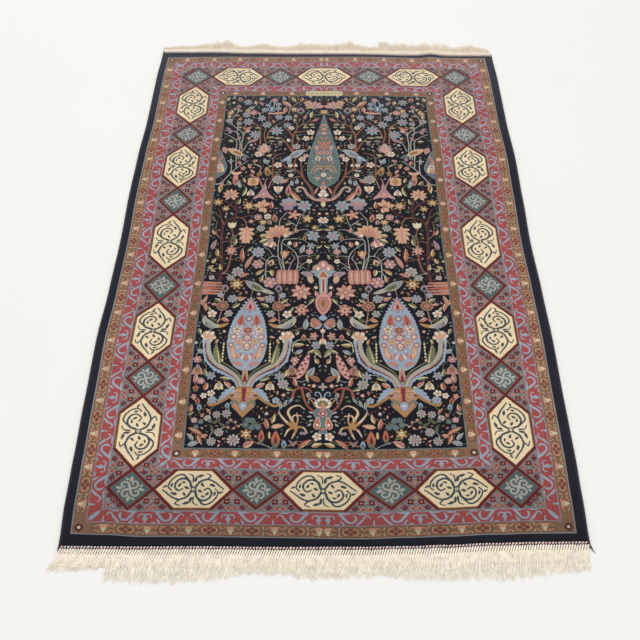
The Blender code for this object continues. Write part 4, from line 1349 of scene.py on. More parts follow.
def fill_in(chart, pen, seed):
    """Small buds, leaves and berries on the ground that is still bare, the larger ones first."""
    chance = random.Random(seed)
    rows, columns = chart.knots.shape
    ground = DYE_NUMBER["midnight"]
    small = ("mist", "olive", "rose", "gold", "salmon", "mauve", "peach", "moss", "pewter", "spruce")
    dark = ("moss", "bark", "umber", "spruce", "garnet")
    for reach in (*[6] * 2600, *[4] * 2600, *[3] * 3800):
        x, y = chance.uniform(2, columns - 2), chance.uniform(2, GARDEN_LENGTH - 2)
        column, row = int(x), int(y * chart.row_scale)
        near = chart.knots[max(row - reach, 0) : row + reach + 1, max(column - reach, 0) : column + reach + 1]
        dye, kind, angle = chance.choice(small), chance.random(), chance.uniform(0, 360)
        if np.any(near != ground):
            continue
        place = pen.at(x, y, angle)
        if reach == 3:
            leaf(place, chance.uniform(4, 6), 2.4, chance.choice(dark))
        elif reach == 4:
            leaf(place, chance.uniform(5, 8), 3.4, dye)
        elif kind < 0.35:
            rosette(place, chance.uniform(3.4, 4.6), 5, dye, heart="ivory", depth=0.35)
        elif kind < 0.7:
            leaf(place, chance.uniform(9, 11), 4.6, dye, vein=VEINS.get(dye))
        else:
            place.line([(0, 5), (1, 0), (0, -3)], 1.1, "moss")
            leaf(place.at(0, -2), 7, 4, dye)
            leaf(place.at(2.4, 2, 60), 5, 2.4, "moss")


def draw_garden():
    chart = Chart(GARDEN_COLUMNS // 2, GARDEN_ROWS, "midnight", GARDEN_ROWS / GARDEN_LENGTH)
    pen = Pen(chart)
    middle = pen.at(AXIS, 0)
    tree = pen.at(TREE_AXIS, 0)
    for dye, width, points in STEMS:
        pen.line(points, width, dye, width * 0.6)
        if width > 3.5:
            pen.line(points, 1.3, "midnight" if width > 5 else "maroon", 1.0)
    tendrils(pen)
    special_flowers(pen)
    for dye, rows in LEAVES.items():
        for x, y, turn, long, wide, *bend in rows:
            leaf(pen.at(x, y, turn), long, wide, dye, vein=VEINS[dye], bend=sum(bend), shade=SHADES[dye])
    for kind, rows in FLOWERS.items():
        for k, (x, y, radius, petals) in enumerate(rows):
            rosette(pen.at(x, y, 40 * k), radius, petals, *COLOURWAYS[kind])
    for dye, rows in BUDS.items():
        for x, y, turn, long, wide in rows:
            bud(pen.at(x, y, turn), long, wide, dye, heart=VEINS.get(dye))
    acanthus(pen)
    birds(pen)
    light_cypress(tree)
    dark_cypress(middle)
    finial(middle)
    garden_vase(middle)
    fill_in(chart, pen, 21)
    return np.concatenate((chart.knots, chart.knots[:, ::-1]), axis=1)


def carpet_chart():
    """The whole carpet's chart."""
    chart = Chart(COLUMNS, ROWS, "navy")
    draw_borders(chart)
    inset = RIM + BORDER
    chart.knots[inset:-inset, inset:-inset] = draw_garden()
    return chart


# The cloth's shape, which the functions below take and give as arrays or as single numbers


def smooth_row(table, share, column):
    """A table's column at a share of the width or length, eased from row to row."""
    places = np.array([row.share for row in table])
    values = np.array([getattr(row, column) for row in table])
    low = np.clip(np.searchsorted(places, share, "right") - 1, 0, len(places) - 2)
    part = np.clip((share - places[low]) / (places[low + 1] - places[low]), 0, 1)
    return values[low] + part * part * (3 - 2 * part) * (values[low + 1] - values[low])


def left_edge(along):
    return -WIDTH / 2 - smooth_row(SIDE_EDGES, along, "left")


def right_edge(along):
    return WIDTH / 2 + smooth_row(SIDE_EDGES, along, "right")


def near_edge(across):
    return -LENGTH / 2 - smooth_row(END_EDGES, across, "near")


def far_edge(across):
    return LENGTH / 2 + smooth_row(END_EDGES, across, "far")


def ripple(x, y):
    """How far the cloth stands off the floor."""
    side = np.minimum(np.abs(x - RIPPLE_ACROSS) / RIPPLE_HALF_WIDTH, 1)
    fade = 1 - np.clip((LENGTH / 2 - y) / RIPPLE_LENGTH, 0, 1)
    return RIPPLE_HEIGHT * (0.5 + 0.5 * np.cos(np.pi * side)) * fade**2 * (3 - 2 * fade)


def carpet_point(across, along):
    """A place on the carpet, blended from its four uneven edges."""
    inset_side = CORD_WIDTH + GAP
    inset_end = BAND_DEPTH + GAP
    left, right = left_edge(along) + inset_side, right_edge(along) - inset_side
    near, far = near_edge(across) + inset_end, far_edge(across) - inset_end
    return left + across * (right - left), near + along * (far - near)


def knot_shares():
    """The shares across and along at the corners of the pile's faces, from the far end. The rims take
    their own depths, and the garden lies even between the guards, but for the creep of the warps."""
    columns = np.arange(0.0, COLUMNS + 1, BLOCK)
    rows = np.arange(0.0, ROWS + 1, BLOCK)[:, None]
    garden = np.clip((columns - RIM - BORDER) / GARDEN_COLUMNS, 0, 1)
    columns = columns - MIDDLE_CREEP * 4 * garden * (1 - garden)
    even_across, even_along = columns / COLUMNS, 1 - rows / ROWS
    width = right_edge(even_along) - left_edge(even_along) - 2 * (CORD_WIDTH + GAP)
    length = far_edge(even_across) - near_edge(even_across) - 2 * (BAND_DEPTH + GAP)
    left, right = RIM_LEFT / width, RIM_RIGHT / width
    step = np.clip((columns - RIM) / (COLUMNS - 2 * RIM), 0, 1)
    step = step + WARP_CREEP * (1 - even_along) * step * (1 - step)
    across = left * np.minimum(columns / RIM, 1) + (1 - left - right) * step
    across = across + right * np.maximum((columns - COLUMNS) / RIM + 1, 0)
    near = smooth_row(RIM_NEAR, even_across, "depth") / length
    far = smooth_row(RIM_FAR, even_across, "depth") / length
    step = np.clip((rows - RIM) / (ROWS - 2 * RIM), 0, 1)
    down = far * np.minimum(rows / RIM, 1) + (1 - near - far) * step
    down = down + near * np.maximum((rows - ROWS) / RIM + 1, 0)
    return across, 1 - down


# Making pieces


def add(tree, kind, inputs=None, **settings):
    """A node with its settings. Its inputs take values, sockets, or nodes for their first outputs."""
    node = tree.nodes.new(kind)
    for name, value in settings.items():
        setattr(node, name, value)
    for key, value in (inputs or {}).items():
        value = value.outputs[0] if isinstance(value, bpy.types.Node) else value
        if isinstance(value, bpy.types.NodeSocket):
            tree.links.new(value, node.inputs[key])
        else:
            node.inputs[key].default_value = value
    return node


def new_material(name):
    """A material with only its output and shader nodes, and its tree and shader."""
    material = bpy.data.materials.new(name)
    material.use_nodes = True
    tree = material.node_tree
    return material, tree, tree.nodes["Principled BSDF"]


SOCKET_KINDS = {float: "NodeSocketFloat", int: "NodeSocketInt", type(None): "NodeSocketMaterial"}


def new_tree(name, inputs):
    """A geometry node tree with named inputs, and its two end nodes. An input of None is a material."""
    tree = bpy.data.node_groups.new(name, "GeometryNodeTree")
    tree.interface.new_socket("Geometry", in_out="INPUT", socket_type="NodeSocketGeometry")
    for label, value in inputs.items():
        socket = tree.interface.new_socket(label, in_out="INPUT", socket_type=SOCKET_KINDS[type(value)])
        if value is not None:
            socket.default_value = value
    tree.interface.new_socket("Geometry", in_out="OUTPUT", socket_type="NodeSocketGeometry")
    return tree, tree.nodes.new("NodeGroupInput"), tree.nodes.new("NodeGroupOutput")


def grown(tree, lines, values):
    """The plain mesh that a geometry node tree makes of some lines."""
    carrier = bpy.data.objects.new(tree.name, lines)
    bpy.context.collection.objects.link(carrier)
    modifier = carrier.modifiers.new(tree.name, "NODES")
    modifier.node_group = tree
    for socket in tree.interface.items_tree:
        if socket.in_out == "INPUT" and socket.name in values:
            modifier[socket.identifier] = values[socket.name]
    mesh = bpy.data.meshes.new_from_object(carrier.evaluated_get(bpy.context.evaluated_depsgraph_get()))
    carrier.modifiers.remove(modifier)
    bpy.data.objects.remove(carrier)
    return mesh


def line_mesh(name, lines, thick=None):
    """A mesh of edges along some lines, each a list of places. thick holds a width for each place."""
    mesh = bpy.data.meshes.new(name)
    places, edges = [], []
    for line in lines:
        start = len(places)
        places.extend(tuple(map(float, place)) for place in line)
        edges.extend((start + i, start + i + 1) for i in range(len(line) - 1))
    mesh.from_pydata(places, edges, [])
    if thick is not None:
        widths = mesh.attributes.new("thick", "FLOAT", "POINT")
        widths.data.foreach_set("value", np.concatenate(thick).astype(np.float32))
    return mesh


def joined_piece(name, meshes, replaced):
    """One object of several meshes, with their materials, in place of one of the carpet's solids."""
    shape = bmesh.new()
    materials = []
    for mesh in meshes:
        part = bmesh.new()
        part.from_mesh(mesh)
        moved = []
        for material in mesh.materials:
            if material not in materials:
                materials.append(material)
            moved.append(materials.index(material))
        for face in part.faces:
            face.material_index = moved[min(face.material_index, len(moved) - 1)]
            face.smooth = True
        whole = bpy.data.meshes.new(name)
        part.to_mesh(whole)
        part.free()
        shape.from_mesh(whole)
        bpy.data.meshes.remove(whole)
    result = bpy.data.meshes.new(name)
    shape.to_mesh(result)
    shape.free()
    for material in materials:
        result.materials.append(material)
    piece = bpy.data.objects.new(name, result)
    bpy.context.collection.objects.link(piece)
    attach(piece, "root")
    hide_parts(replaced)


# Materials


def set_fibre(shader, roughness, specular, sheen, sheen_roughness, tint):
    """How matt a fibre is, and the sheen that its loose ends give it against the light."""
    shader.inputs["Roughness"].default_value = roughness
    shader.inputs["Specular IOR Level"].default_value = specular
    shader.inputs["Sheen Weight"].default_value = sheen
    shader.inputs["Sheen Roughness"].default_value = sheen_roughness
    shader.inputs["Sheen Tint"].default_value = (*tint, 1.0)


def clipped_wool(settings):
    """Hand-spun wool, dyed, knotted and clipped: matt, each dye a little uneven from batch to batch,
    with a pale sheen where the light falls along the pile."""
    material, tree, shader = new_material("knotted_wool")
    knots = add(tree, "ShaderNodeAttribute", attribute_type="GEOMETRY", attribute_name="knots")
    place = add(tree, "ShaderNodeUVMap", uv_map="KnotBlock")
    spot = add(tree, "ShaderNodeSeparateXYZ", {0: place})
    rows = add(tree, "ShaderNodeSeparateColor", {0: knots.outputs["Color"]})
    # Which of the face's four columns and rows of knots this place is in.
    whole = [add(tree, "ShaderNodeMath", {0: spot.outputs[i]}, operation="FLOOR") for i in (0, 1)]
    column, row = (add(tree, "ShaderNodeMath", {0: w, 1: BLOCK - 1.0}, operation="MINIMUM") for w in whole)
    # The four numbers of a face hold a row of four knots each, as digits.
    code = rows.outputs[0]
    for limit, other in ((0.5, rows.outputs[1]), (1.5, rows.outputs[2]), (2.5, knots.outputs["Alpha"])):
        beyond = add(tree, "ShaderNodeMath", {0: row, 1: limit}, operation="GREATER_THAN")
        code = add(tree, "ShaderNodeMix", {0: beyond, 2: code, 3: other})
    power = add(tree, "ShaderNodeMath", {0: DYE_COUNT, 1: column}, operation="POWER")
    digits = add(tree, "ShaderNodeMath", {0: code, 1: 0.5}, operation="ADD")
    digits = add(tree, "ShaderNodeMath", {0: digits, 1: power}, operation="DIVIDE")
    digits = add(tree, "ShaderNodeMath", {0: digits}, operation="FLOOR")
    number = add(tree, "ShaderNodeMath", {0: digits, 1: DYE_COUNT}, operation="MODULO")
    stop = add(tree, "ShaderNodeMath", {0: number, 1: 0.5}, operation="ADD")
    stop = add(tree, "ShaderNodeMath", {0: stop, 1: DYE_COUNT}, operation="DIVIDE")
    ramp = add(tree, "ShaderNodeValToRGB", {0: stop})
    ramp.color_ramp.interpolation = "CONSTANT"
    stops = ramp.color_ramp.elements
    for k, dye in enumerate(DYES):
        element = stops[k] if k < 2 else stops.new(k / DYE_COUNT)
        element.position = k / DYE_COUNT
        element.color = (*getattr(settings, dye.name), 1.0)
    # Batches of wool differ in bands across the carpet some 60 mm deep, the clipping every 30 mm, and
    # single knots by a little.
    object_place = add(tree, "ShaderNodeTexCoord").outputs["Object"]
    bands = add(tree, "ShaderNodeMapping", {0: object_place, 3: (1.4, 16.0, 1.0)})
    batch = add(tree, "ShaderNodeTexNoise", {0: bands, "Scale": 1.0, "Detail": 2.0})
    single = add(tree, "ShaderNodeTexNoise", {0: object_place, "Scale": 420.0, "Detail": 1.0})
    nap = add(tree, "ShaderNodeTexNoise", {0: object_place, "Scale": 34.0, "Detail": 3.0})
    level = 0.5
    for unevenness, share in ((batch, 0.34), (single, 0.36), (nap, 0.30)):
        level = add(tree, "ShaderNodeMath", {0: unevenness, 1: share, 2: level}, operation="MULTIPLY_ADD")
    # Painted shade darkens the wool along the near end, and a painted sheen pales it towards the far end.
    along = add(tree, "ShaderNodeSeparateXYZ", {0: object_place}).outputs[1]
    # Painted shade: the wool is darker along the near end, two thirds as bright at its edge.
    near = add(tree, "ShaderNodeMapRange", {0: along, 1: -0.92, 2: -0.66, 3: 0.66, 4: 1.0})
    # Painted sheen: how far the colour turns pale towards the far end.
    far = add(tree, "ShaderNodeMapRange", {0: along, 1: 0.4, 2: 0.95, 3: 0.0, 4: 0.058})
    level = add(tree, "ShaderNodeMath", {0: level, 1: near}, operation="MULTIPLY")
    wool = add(tree, "ShaderNodeHueSaturation", {"Value": level, "Color": ramp})
    # The painted sheen: the colour mixed towards pale grey by that share.
    far_painted_sheen = add(tree, "ShaderNodeMix", {0: far, 6: wool, 7: (*linear("#B8BAC2"), 1.0)}, data_type="RGBA")
    tree.links.new(far_painted_sheen.outputs[2], shader.inputs["Base Color"])
    # A knot stands as a low round cushion 1.5 mm wide.
    part = [add(tree, "ShaderNodeMath", {0: spot.outputs[i]}, operation="FRACT") for i in (0, 1)]
    mounds = [add(tree, "ShaderNodeMath", {0: p, 1: 1.0}, operation="PINGPONG") for p in part]
    cushion = add(tree, "ShaderNodeMath", {0: mounds[0], 1: mounds[1]}, operation="MULTIPLY")
    height = add(tree, "ShaderNodeMath", {0: nap, 1: cushion}, operation="ADD")
    bump = add(tree, "ShaderNodeBump", {"Height": height, "Strength": 0.35, "Distance": 0.0009})
    tree.links.new(bump.outputs[0], shader.inputs["Normal"])
    set_fibre(shader, roughness=0.92, specular=0.2, sheen=0.07, sheen_roughness=0.45,
              tint=linear("#EFF1FF"))
    return material


def yarn_material(name, colour, seed, sheen=0.25, tint=linear("#FFFFFF")):
    """Spun yarn: matt, streaked along its fibres, with fine fuzz that catches the light."""
    material, tree, shader = new_material(name)
    object_place = add(tree, "ShaderNodeTexCoord").outputs["Object"]
    # Fibres show in bunches of about half a millimetre, and the colour drifts over some 20 mm.
    fibres = add(tree, "ShaderNodeTexNoise", {0: object_place, "Scale": 1900.0 + seed, "Detail": 2.0})
    drift = add(tree, "ShaderNodeTexNoise", {0: object_place, "Scale": 48.0 + seed, "Detail": 2.0})
    level = add(tree, "ShaderNodeMath", {0: fibres, 1: 0.5, 2: 0.5}, operation="MULTIPLY_ADD")
    level = add(tree, "ShaderNodeMath", {0: drift, 1: 0.5, 2: level}, operation="MULTIPLY_ADD")
    tone = add(tree, "ShaderNodeHueSaturation", {"Value": level, "Color": (*colour, 1.0)})
    tree.links.new(tone.outputs[0], shader.inputs["Base Color"])
    bump = add(tree, "ShaderNodeBump", {"Height": fibres, "Strength": 0.5, "Distance": 0.0003})
    tree.links.new(bump.outputs[0], shader.inputs["Normal"])
    set_fibre(shader, roughness=0.9, specular=0.25, sheen=sheen, sheen_roughness=0.5, tint=tint)
    return material


# The pile


def pile_mesh(chart, pile, back):
    """The pile's faces, each with its sixteen knots, the walls round them and a coarser back."""
    across, along = knot_shares()
    x, y = carpet_point(across, along)
    lift = ripple(x, y)
    rows, columns = x.shape[0] - 1, x.shape[1] - 1
    top = lift + THICKNESS
    for edge in (np.s_[0, :], np.s_[-1, :], np.s_[:, 0], np.s_[:, -1]):
        top[edge] = lift[edge] + THICKNESS - RIM_DROP
    number = np.arange((rows + 1) * (columns + 1)).reshape(rows + 1, columns + 1)
    places = np.stack((x, y, top), -1).reshape(-1, 3).tolist()
    quads = np.stack((number[:-1, :-1], number[1:, :-1], number[1:, 1:], number[:-1, 1:]), -1)
    faces = quads.reshape(-1, 4).tolist()
    below = {}

    def under(row, column):
        if (row, column) not in below:
            below[row, column] = len(places)
            places.append((x[row, column], y[row, column], lift[row, column]))
        return below[row, column]

    rim = [(rows, c) for c in range(columns)] + [(r, columns) for r in range(rows, 0, -1)]
    rim += [(0, c) for c in range(columns, 0, -1)] + [(r, 0) for r in range(rows)]
    for one, two in zip(rim, rim[1:] + rim[:1]):
        faces.append([under(*one), under(*two), int(number[two]), int(number[one])])
    walls = len(rim)
    for r in range(0, rows, BACK_ROWS):
        for c in range(0, columns, BACK_COLUMNS):
            r_end, c_end = r + BACK_ROWS, c + BACK_COLUMNS
            far = [(r, k) for k in range(c, c_end, 1 if r == 0 else BACK_COLUMNS)]
            right = [(k, c_end) for k in range(r, r_end, 1 if c_end == columns else BACK_ROWS)]
            near = [(r_end, k) for k in range(c_end, c, -1 if r_end == rows else -BACK_COLUMNS)]
            left = [(k, c) for k in range(r_end, r, -1 if c == 0 else -BACK_ROWS)]
            faces.append([under(*place) for place in far + right + near + left])
    mesh = bpy.data.meshes.new("pile")
    mesh.from_pydata(places, [], faces)
    mesh.materials.append(pile)
    mesh.materials.append(back)

    count = rows * columns
    blocks = chart.knots.astype(np.float64).reshape(rows, BLOCK, columns, BLOCK)
    digit_worth = DYE_COUNT ** np.arange(BLOCK)
    codes = (blocks * digit_worth).sum(3).transpose(0, 2, 1).reshape(count, BLOCK)
    plain = np.full((len(faces) - count, BLOCK), DYE_NUMBER["navy"] * digit_worth.sum())
    knots = mesh.attributes.new("knots", "FLOAT_COLOR", "FACE")
    knots.data.foreach_set("color", np.concatenate((codes, plain)).astype(np.float32).ravel())

    # The walls and the back stand in one plain place of each map.
    spare = len(mesh.loops) - 4 * count
    knot_corners = np.tile([(0, 0), (0, BLOCK), (BLOCK, BLOCK), (BLOCK, 0)], (count, 1))
    width_shares, length_shares = np.arange(columns + 1) / columns, 1 - np.arange(rows + 1)[:, None] / rows
    shares = np.stack(np.broadcast_arrays(width_shares, length_shares), -1).reshape(-1, 2)
    for name, corners, plain_place in (
        ("KnotBlock", knot_corners, 0.5),
        ("OFBake", shares[quads.reshape(-1)], 0.003),
    ):
        uvs = np.concatenate((corners, np.full((spare, 2), plain_place))).astype(np.float32)
        mesh.uv_layers.new(name=name).data.foreach_set("uv", uvs.ravel())
    slots = np.zeros(len(faces), np.int32)
    slots[count + walls :] = 1
    mesh.polygons.foreach_set("material_index", slots)
    mesh.update()
    mesh.shade_smooth()
    # Only the cut edge of the rim stays sharp.
    mesh.set_sharp_from_angle(angle=math.radians(50))
    return mesh


# The yarn work round the carpet


def yarn_turns(tree, given, arc, wide, tall, half_yarn, axis, smallest, largest):
    """A line, the stations along it, and a turn of yarn for them: its mesh, its rotation and its size."""
    line = add(tree, "GeometryNodeMeshToCurve", {0: given.outputs["Geometry"]})
    stations = add(tree, "GeometryNodeCurveToPoints", {0: line, "Length": given.outputs["Pitch"]},
                   mode="LENGTH")
    arch = add(tree, "GeometryNodeCurveArc", arc, mode="RADIUS")
    size = add(tree, "ShaderNodeCombineXYZ", {0: wide, 1: tall, 2: 1.0})
    path = add(tree, "GeometryNodeTransform", {0: arch, "Scale": size})
    upright = add(tree, "GeometryNodeTransform", {0: path, "Rotation": (math.radians(90), 0.0, 0.0)})
    ring = add(tree, "GeometryNodeCurvePrimitiveCircle", {"Resolution": 5, "Radius": half_yarn})
    turn = add(tree, "GeometryNodeCurveToMesh", {0: upright, 1: ring, "Fill Caps": True})
    facing = add(tree, "FunctionNodeAlignRotationToVector", {"Vector": stations.outputs["Tangent"]},
                 axis=axis)
    lean = add(tree, "ShaderNodeCombineXYZ", {2: given.outputs["Lean"]})
    lean = add(tree, "FunctionNodeEulerToRotation", {0: lean})
    rotation = add(tree, "FunctionNodeRotateRotation", {0: facing, 1: lean}, rotation_space="LOCAL")
    chance = add(tree, "FunctionNodeRandomValue",
                 {"Min": smallest, "Max": largest, "Seed": given.outputs["Seed"]}, data_type="FLOAT")
    return line, stations, turn, rotation, chance.outputs["Value"]


def overcast_tree():
    """A core along a line, and yarn wound closely over it."""
    tree, given, result = new_tree("Overcast cord", {
        "Half width": CORD_WIDTH / 2, "Half height": CORD_HEIGHT / 2, "Yarn": 0.0024, "Pitch": 0.0026,
        "Lean": 0.3, "Seed": 1, "Wool": None,
    })
    half_yarn = add(tree, "ShaderNodeMath", {0: given.outputs["Yarn"], 1: 0.5}, operation="MULTIPLY")
    wide, tall = (add(tree, "ShaderNodeMath", {0: given.outputs[half], 1: half_yarn}, operation="SUBTRACT")
                  for half in ("Half width", "Half height"))
    arc = {"Resolution": 8, "Radius": 1.0, "Start Angle": math.radians(-48), "Sweep Angle": math.radians(276)}
    line, stations, turn, rotation, size = yarn_turns(tree, given, arc, wide, tall, half_yarn, "Y", 0.94, 1.0)
    core_size = add(tree, "ShaderNodeMath", {0: given.outputs["Half width"], 1: 0.82}, operation="MULTIPLY")
    core_ring = add(tree, "GeometryNodeCurvePrimitiveCircle", {"Resolution": 8, "Radius": core_size})
    core = add(tree, "GeometryNodeCurveToMesh", {0: line, 1: core_ring, "Fill Caps": True})
    wraps = add(tree, "GeometryNodeInstanceOnPoints",
                {0: stations, "Instance": turn, "Rotation": rotation, "Scale": size})
    both = add(tree, "GeometryNodeJoinGeometry", {0: core})
    tree.links.new(wraps.outputs[0], both.inputs[0])
    solid = add(tree, "GeometryNodeRealizeInstances", {0: both})
    woollen = add(tree, "GeometryNodeSetMaterial", {0: solid, "Material": given.outputs["Wool"]})
    tree.links.new(woollen.outputs[0], result.inputs[0])
    return tree


def yarn_tree():
    """A yarn along each line, as thick as the line's attribute says."""
    tree, given, result = new_tree("Loose yarns", {"Sides": 5, "Yarn": None})
    line = add(tree, "GeometryNodeMeshToCurve", {0: given.outputs["Geometry"]})
    thick = add(tree, "GeometryNodeInputNamedAttribute", {"Name": "thick"}, data_type="FLOAT")
    ring = add(tree, "GeometryNodeCurvePrimitiveCircle",
               {"Resolution": given.outputs["Sides"], "Radius": 0.5})
    swept = add(tree, "GeometryNodeCurveToMesh", {0: line, 1: ring, "Scale": thick, "Fill Caps": True})
    solid = add(tree, "GeometryNodeRealizeInstances", {0: swept})
    spun = add(tree, "GeometryNodeSetMaterial", {0: solid, "Material": given.outputs["Yarn"]})
    tree.links.new(spun.outputs[0], result.inputs[0])
    return tree


def stitch_tree():
    """Short leaning stitches along a line, in two yarns by turns."""
    tree, given, result = new_tree("Row of stitches", {
        "Pitch": 0.0038, "Long": 0.0050, "Thick": 0.0042, "Lean": 0.5, "Seed": 1,
        "One yarn": None, "Other yarn": None,
    })
    half = add(tree, "ShaderNodeMath", {0: given.outputs["Thick"], 1: 0.5}, operation="MULTIPLY")
    arc = {"Resolution": 6, "Radius": 0.5, "Start Angle": 0.0, "Sweep Angle": math.pi}
    _, stations, stitch, rotation, size = yarn_turns(
        tree, given, arc, given.outputs["Long"], given.outputs["Thick"], half, "X", 0.85, 1.1)
    turned_ones = add(tree, "GeometryNodeStoreNamedAttribute",
                      {0: stations, "Name": "facing", "Value": rotation},
                      data_type="QUATERNION", domain="POINT")
    facing = add(tree, "GeometryNodeInputNamedAttribute", {"Name": "facing"}, data_type="QUATERNION")
    index = add(tree, "GeometryNodeInputIndex")
    odd = add(tree, "ShaderNodeMath", {0: index, 1: 2.0}, operation="MODULO")
    by_turns = add(tree, "GeometryNodeSeparateGeometry", {0: turned_ones, 1: odd}, domain="POINT")
    rows = add(tree, "GeometryNodeJoinGeometry")
    for chosen, yarn in zip(by_turns.outputs, ("One yarn", "Other yarn")):
        stitches = add(tree, "GeometryNodeInstanceOnPoints",
                       {0: chosen, "Instance": stitch, "Rotation": facing, "Scale": size})
        solid = add(tree, "GeometryNodeRealizeInstances", {0: stitches})
        spun = add(tree, "GeometryNodeSetMaterial", {0: solid, "Material": given.outputs[yarn]})
        tree.links.new(spun.outputs[0], rows.inputs[0])
    tree.links.new(rows.outputs[0], result.inputs[0])
    return tree


def cord_line(side):
    """The middle line of one side cord from the near end: side is -1 left and 1 right."""
    corner = 0.0 if side < 0 else 1.0
    x, y = carpet_point(corner, np.linspace(0, 1, SIDE_STEPS))
    x = np.concatenate((x[:1], x, x[-1:])) + side * (GAP + CORD_WIDTH / 2)
    y = np.concatenate(([near_edge(corner)], y, [far_edge(corner)]))
    return np.stack((x, y, ripple(x, y) + CORD_HEIGHT / 2), -1)


def end_line(edge, end, depth, height):
    """A line along one end of the cloth, at a depth inwards from the twined band's outer edge."""
    across = np.linspace(0, 1, END_STEPS)
    x = carpet_point(across, 0.0 if end < 0 else 1.0)[0]
    outer = edge(across)
    return np.stack((x, outer - end * depth, ripple(x, outer) + height), -1)


def strip_mesh(name, line, profile, end, material):
    """A closed strip along an end: profile holds a distance outwards and a height for each corner."""
    shape = bmesh.new()
    loops = []
    for x, y, z in line:
        loops.append([shape.verts.new((x, y + end * out, z + up)) for out, up in profile])
    for low, high in zip(loops, loops[1:]):
        for i in range(len(profile)):
            j = (i + 1) % len(profile)
            shape.faces.new((low[i], low[j], high[j], high[i]))
    shape.faces.new(loops[0][::-1])
    shape.faces.new(loops[-1])
    bmesh.ops.recalc_face_normals(shape, faces=shape.faces)
    mesh = bpy.data.meshes.new(name)
    shape.to_mesh(mesh)
    shape.free()
    mesh.materials.append(material)
    return mesh


def lock_at(locks, across):
    """Reach and lean of the lock at a share of the width. Two rows close together make a parting."""
    for low, high in zip(locks, locks[1:]):
        if across <= high.share:
            if high.share - low.share < PARTING:
                break
            return smooth_row((low, high), across, "reach"), smooth_row((low, high), across, "lean")
    return high.reach, high.lean


def lock_yarns(edge, end, locks, combing, seed, settings):
    """The lines and widths of the loose warps of one fringe."""
    chance = random.Random(seed)
    front = end_line(edge, end, -GAP - HEADING_DEPTH, 0)
    left = front[0, 0] - CORD_WIDTH + HEADING_INSET_LEFT
    right = front[-1, 0] + CORD_WIDTH - HEADING_INSET_RIGHT
    pitch = (right - left) / STRANDS
    steps = np.linspace(0, 1, WARP_STEPS)
    tuft = 1.0
    lines, widths = [], []
    for k in range(STRANDS):
        reach, lean = lock_at(locks, (k + 0.5) / STRANDS)
        if combing.tufts == 1.0 or chance.random() < combing.tufts:
            tuft = chance.uniform(combing.short, combing.long)
        length = (reach - HEADING_DEPTH) * tuft * chance.uniform(0.95, 1.05)
        sway = chance.uniform(-TIP_JITTER, TIP_JITTER)
        root = left + (k + 0.5) * pitch
        # Each warp of a lock leans, waves and thins a little in its own way.
        for n in range(settings.lock_yarns):
            spread = (n + 0.5) / settings.lock_yarns - 0.5
            run = min(length * chance.uniform(combing.least, 1.12), LONGEST_WARP)
            wave = chance.uniform(0.0006, 0.0022)
            phase = chance.uniform(0, 6.28)
            x = root + spread * pitch * (1.1 + 0.6 * steps * chance.uniform(-1, 1))
            x = x + (lean + chance.uniform(-0.08, 0.08)) * run * steps**STRAND_CURVE + sway * steps
            x = x + wave * steps * np.sin(phase + steps * chance.uniform(6, 14))
            y = np.interp(root, front[:, 0], front[:, 1]) - end * WARP_ROOT + end * (run + WARP_ROOT) * steps
            thick = settings.warp_thickness * (1 - 0.3 * steps) * chance.uniform(0.85, 1.15)
            rise = chance.uniform(0, combing.rise) if combing.rise else 0
            z = ripple(x, y) + thick / 2 + chance.uniform(0, 0.0016) + rise * np.sin(np.pi * steps)
            lines.append(np.stack((x, y, z), -1))
            widths.append(thick)
    return lines, widths


# The add-on


DyeSettings = type("DyeSettings", (bpy.types.PropertyGroup,), {
    "__doc__": "The wool's dyes.",
    "__annotations__": {
        dye.name: bpy.props.FloatVectorProperty(
            name=dye.name.replace("_", " ").capitalize(), description=f"Wool for {dye.use}",
            subtype="COLOR", size=3, min=0.0, max=1.0, default=linear(dye.hex),
        )
        for dye in DYES
    },
})


class YarnSettings(bpy.types.PropertyGroup):
    """Sizes and colours of the yarn work round the carpet."""

    overcast_yarn: bpy.props.FloatProperty(
        name="Overcast yarn", description="Thickness of the wool wound over the sides",
        default=0.0024, min=0.001, max=0.004, unit="LENGTH",
    )
    overcast_pitch: bpy.props.FloatProperty(
        name="Overcast pitch", description="From one turn of that wool to the next",
        default=0.0026, min=0.001, max=0.01, unit="LENGTH",
    )
    lock_yarns: bpy.props.IntProperty(
        name="Warps in a lock", description="How many loose warps each lock of a fringe shows",
        default=10, min=1, max=14,
    )
    warp_thickness: bpy.props.FloatProperty(
        name="Warp thickness", description="Thickness of a loose warp at its root",
        default=0.0016, min=0.0004, max=0.003, unit="LENGTH",
    )
    navy_wool: bpy.props.FloatVectorProperty(
        name="Overcast wool", description="Wool wound over the sides", subtype="COLOR",
        size=3, min=0.0, max=1.0, default=linear("#23242F"),
    )
    cotton: bpy.props.FloatVectorProperty(
        name="Cotton", description="Undyed warps and fringes", subtype="COLOR",
        size=3, min=0.0, max=1.0, default=linear("#FFF7E8"),
    )
    floor: bpy.props.FloatVectorProperty(
        name="Floor", description="The pale floor under the carpet", subtype="COLOR",
        size=3, min=0.0, max=1.0, default=linear("#F3F2F0"),
    )


class CARPET_OT_pile(bpy.types.Operator):
    """Knot the pile from its chart"""

    bl_idname = "carpet.pile"
    bl_label = "Pile"

    def execute(self, context):
        wool = clipped_wool(context.scene.carpet_dyes)
        back = yarn_material("woven_back", linear("#6E5A58"), 3)
        piece = bpy.data.objects.new("pile", pile_mesh(carpet_chart(), wool, back))
        context.collection.objects.link(piece)
        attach(piece, "root")
        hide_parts("carpet")
        return {"FINISHED"}


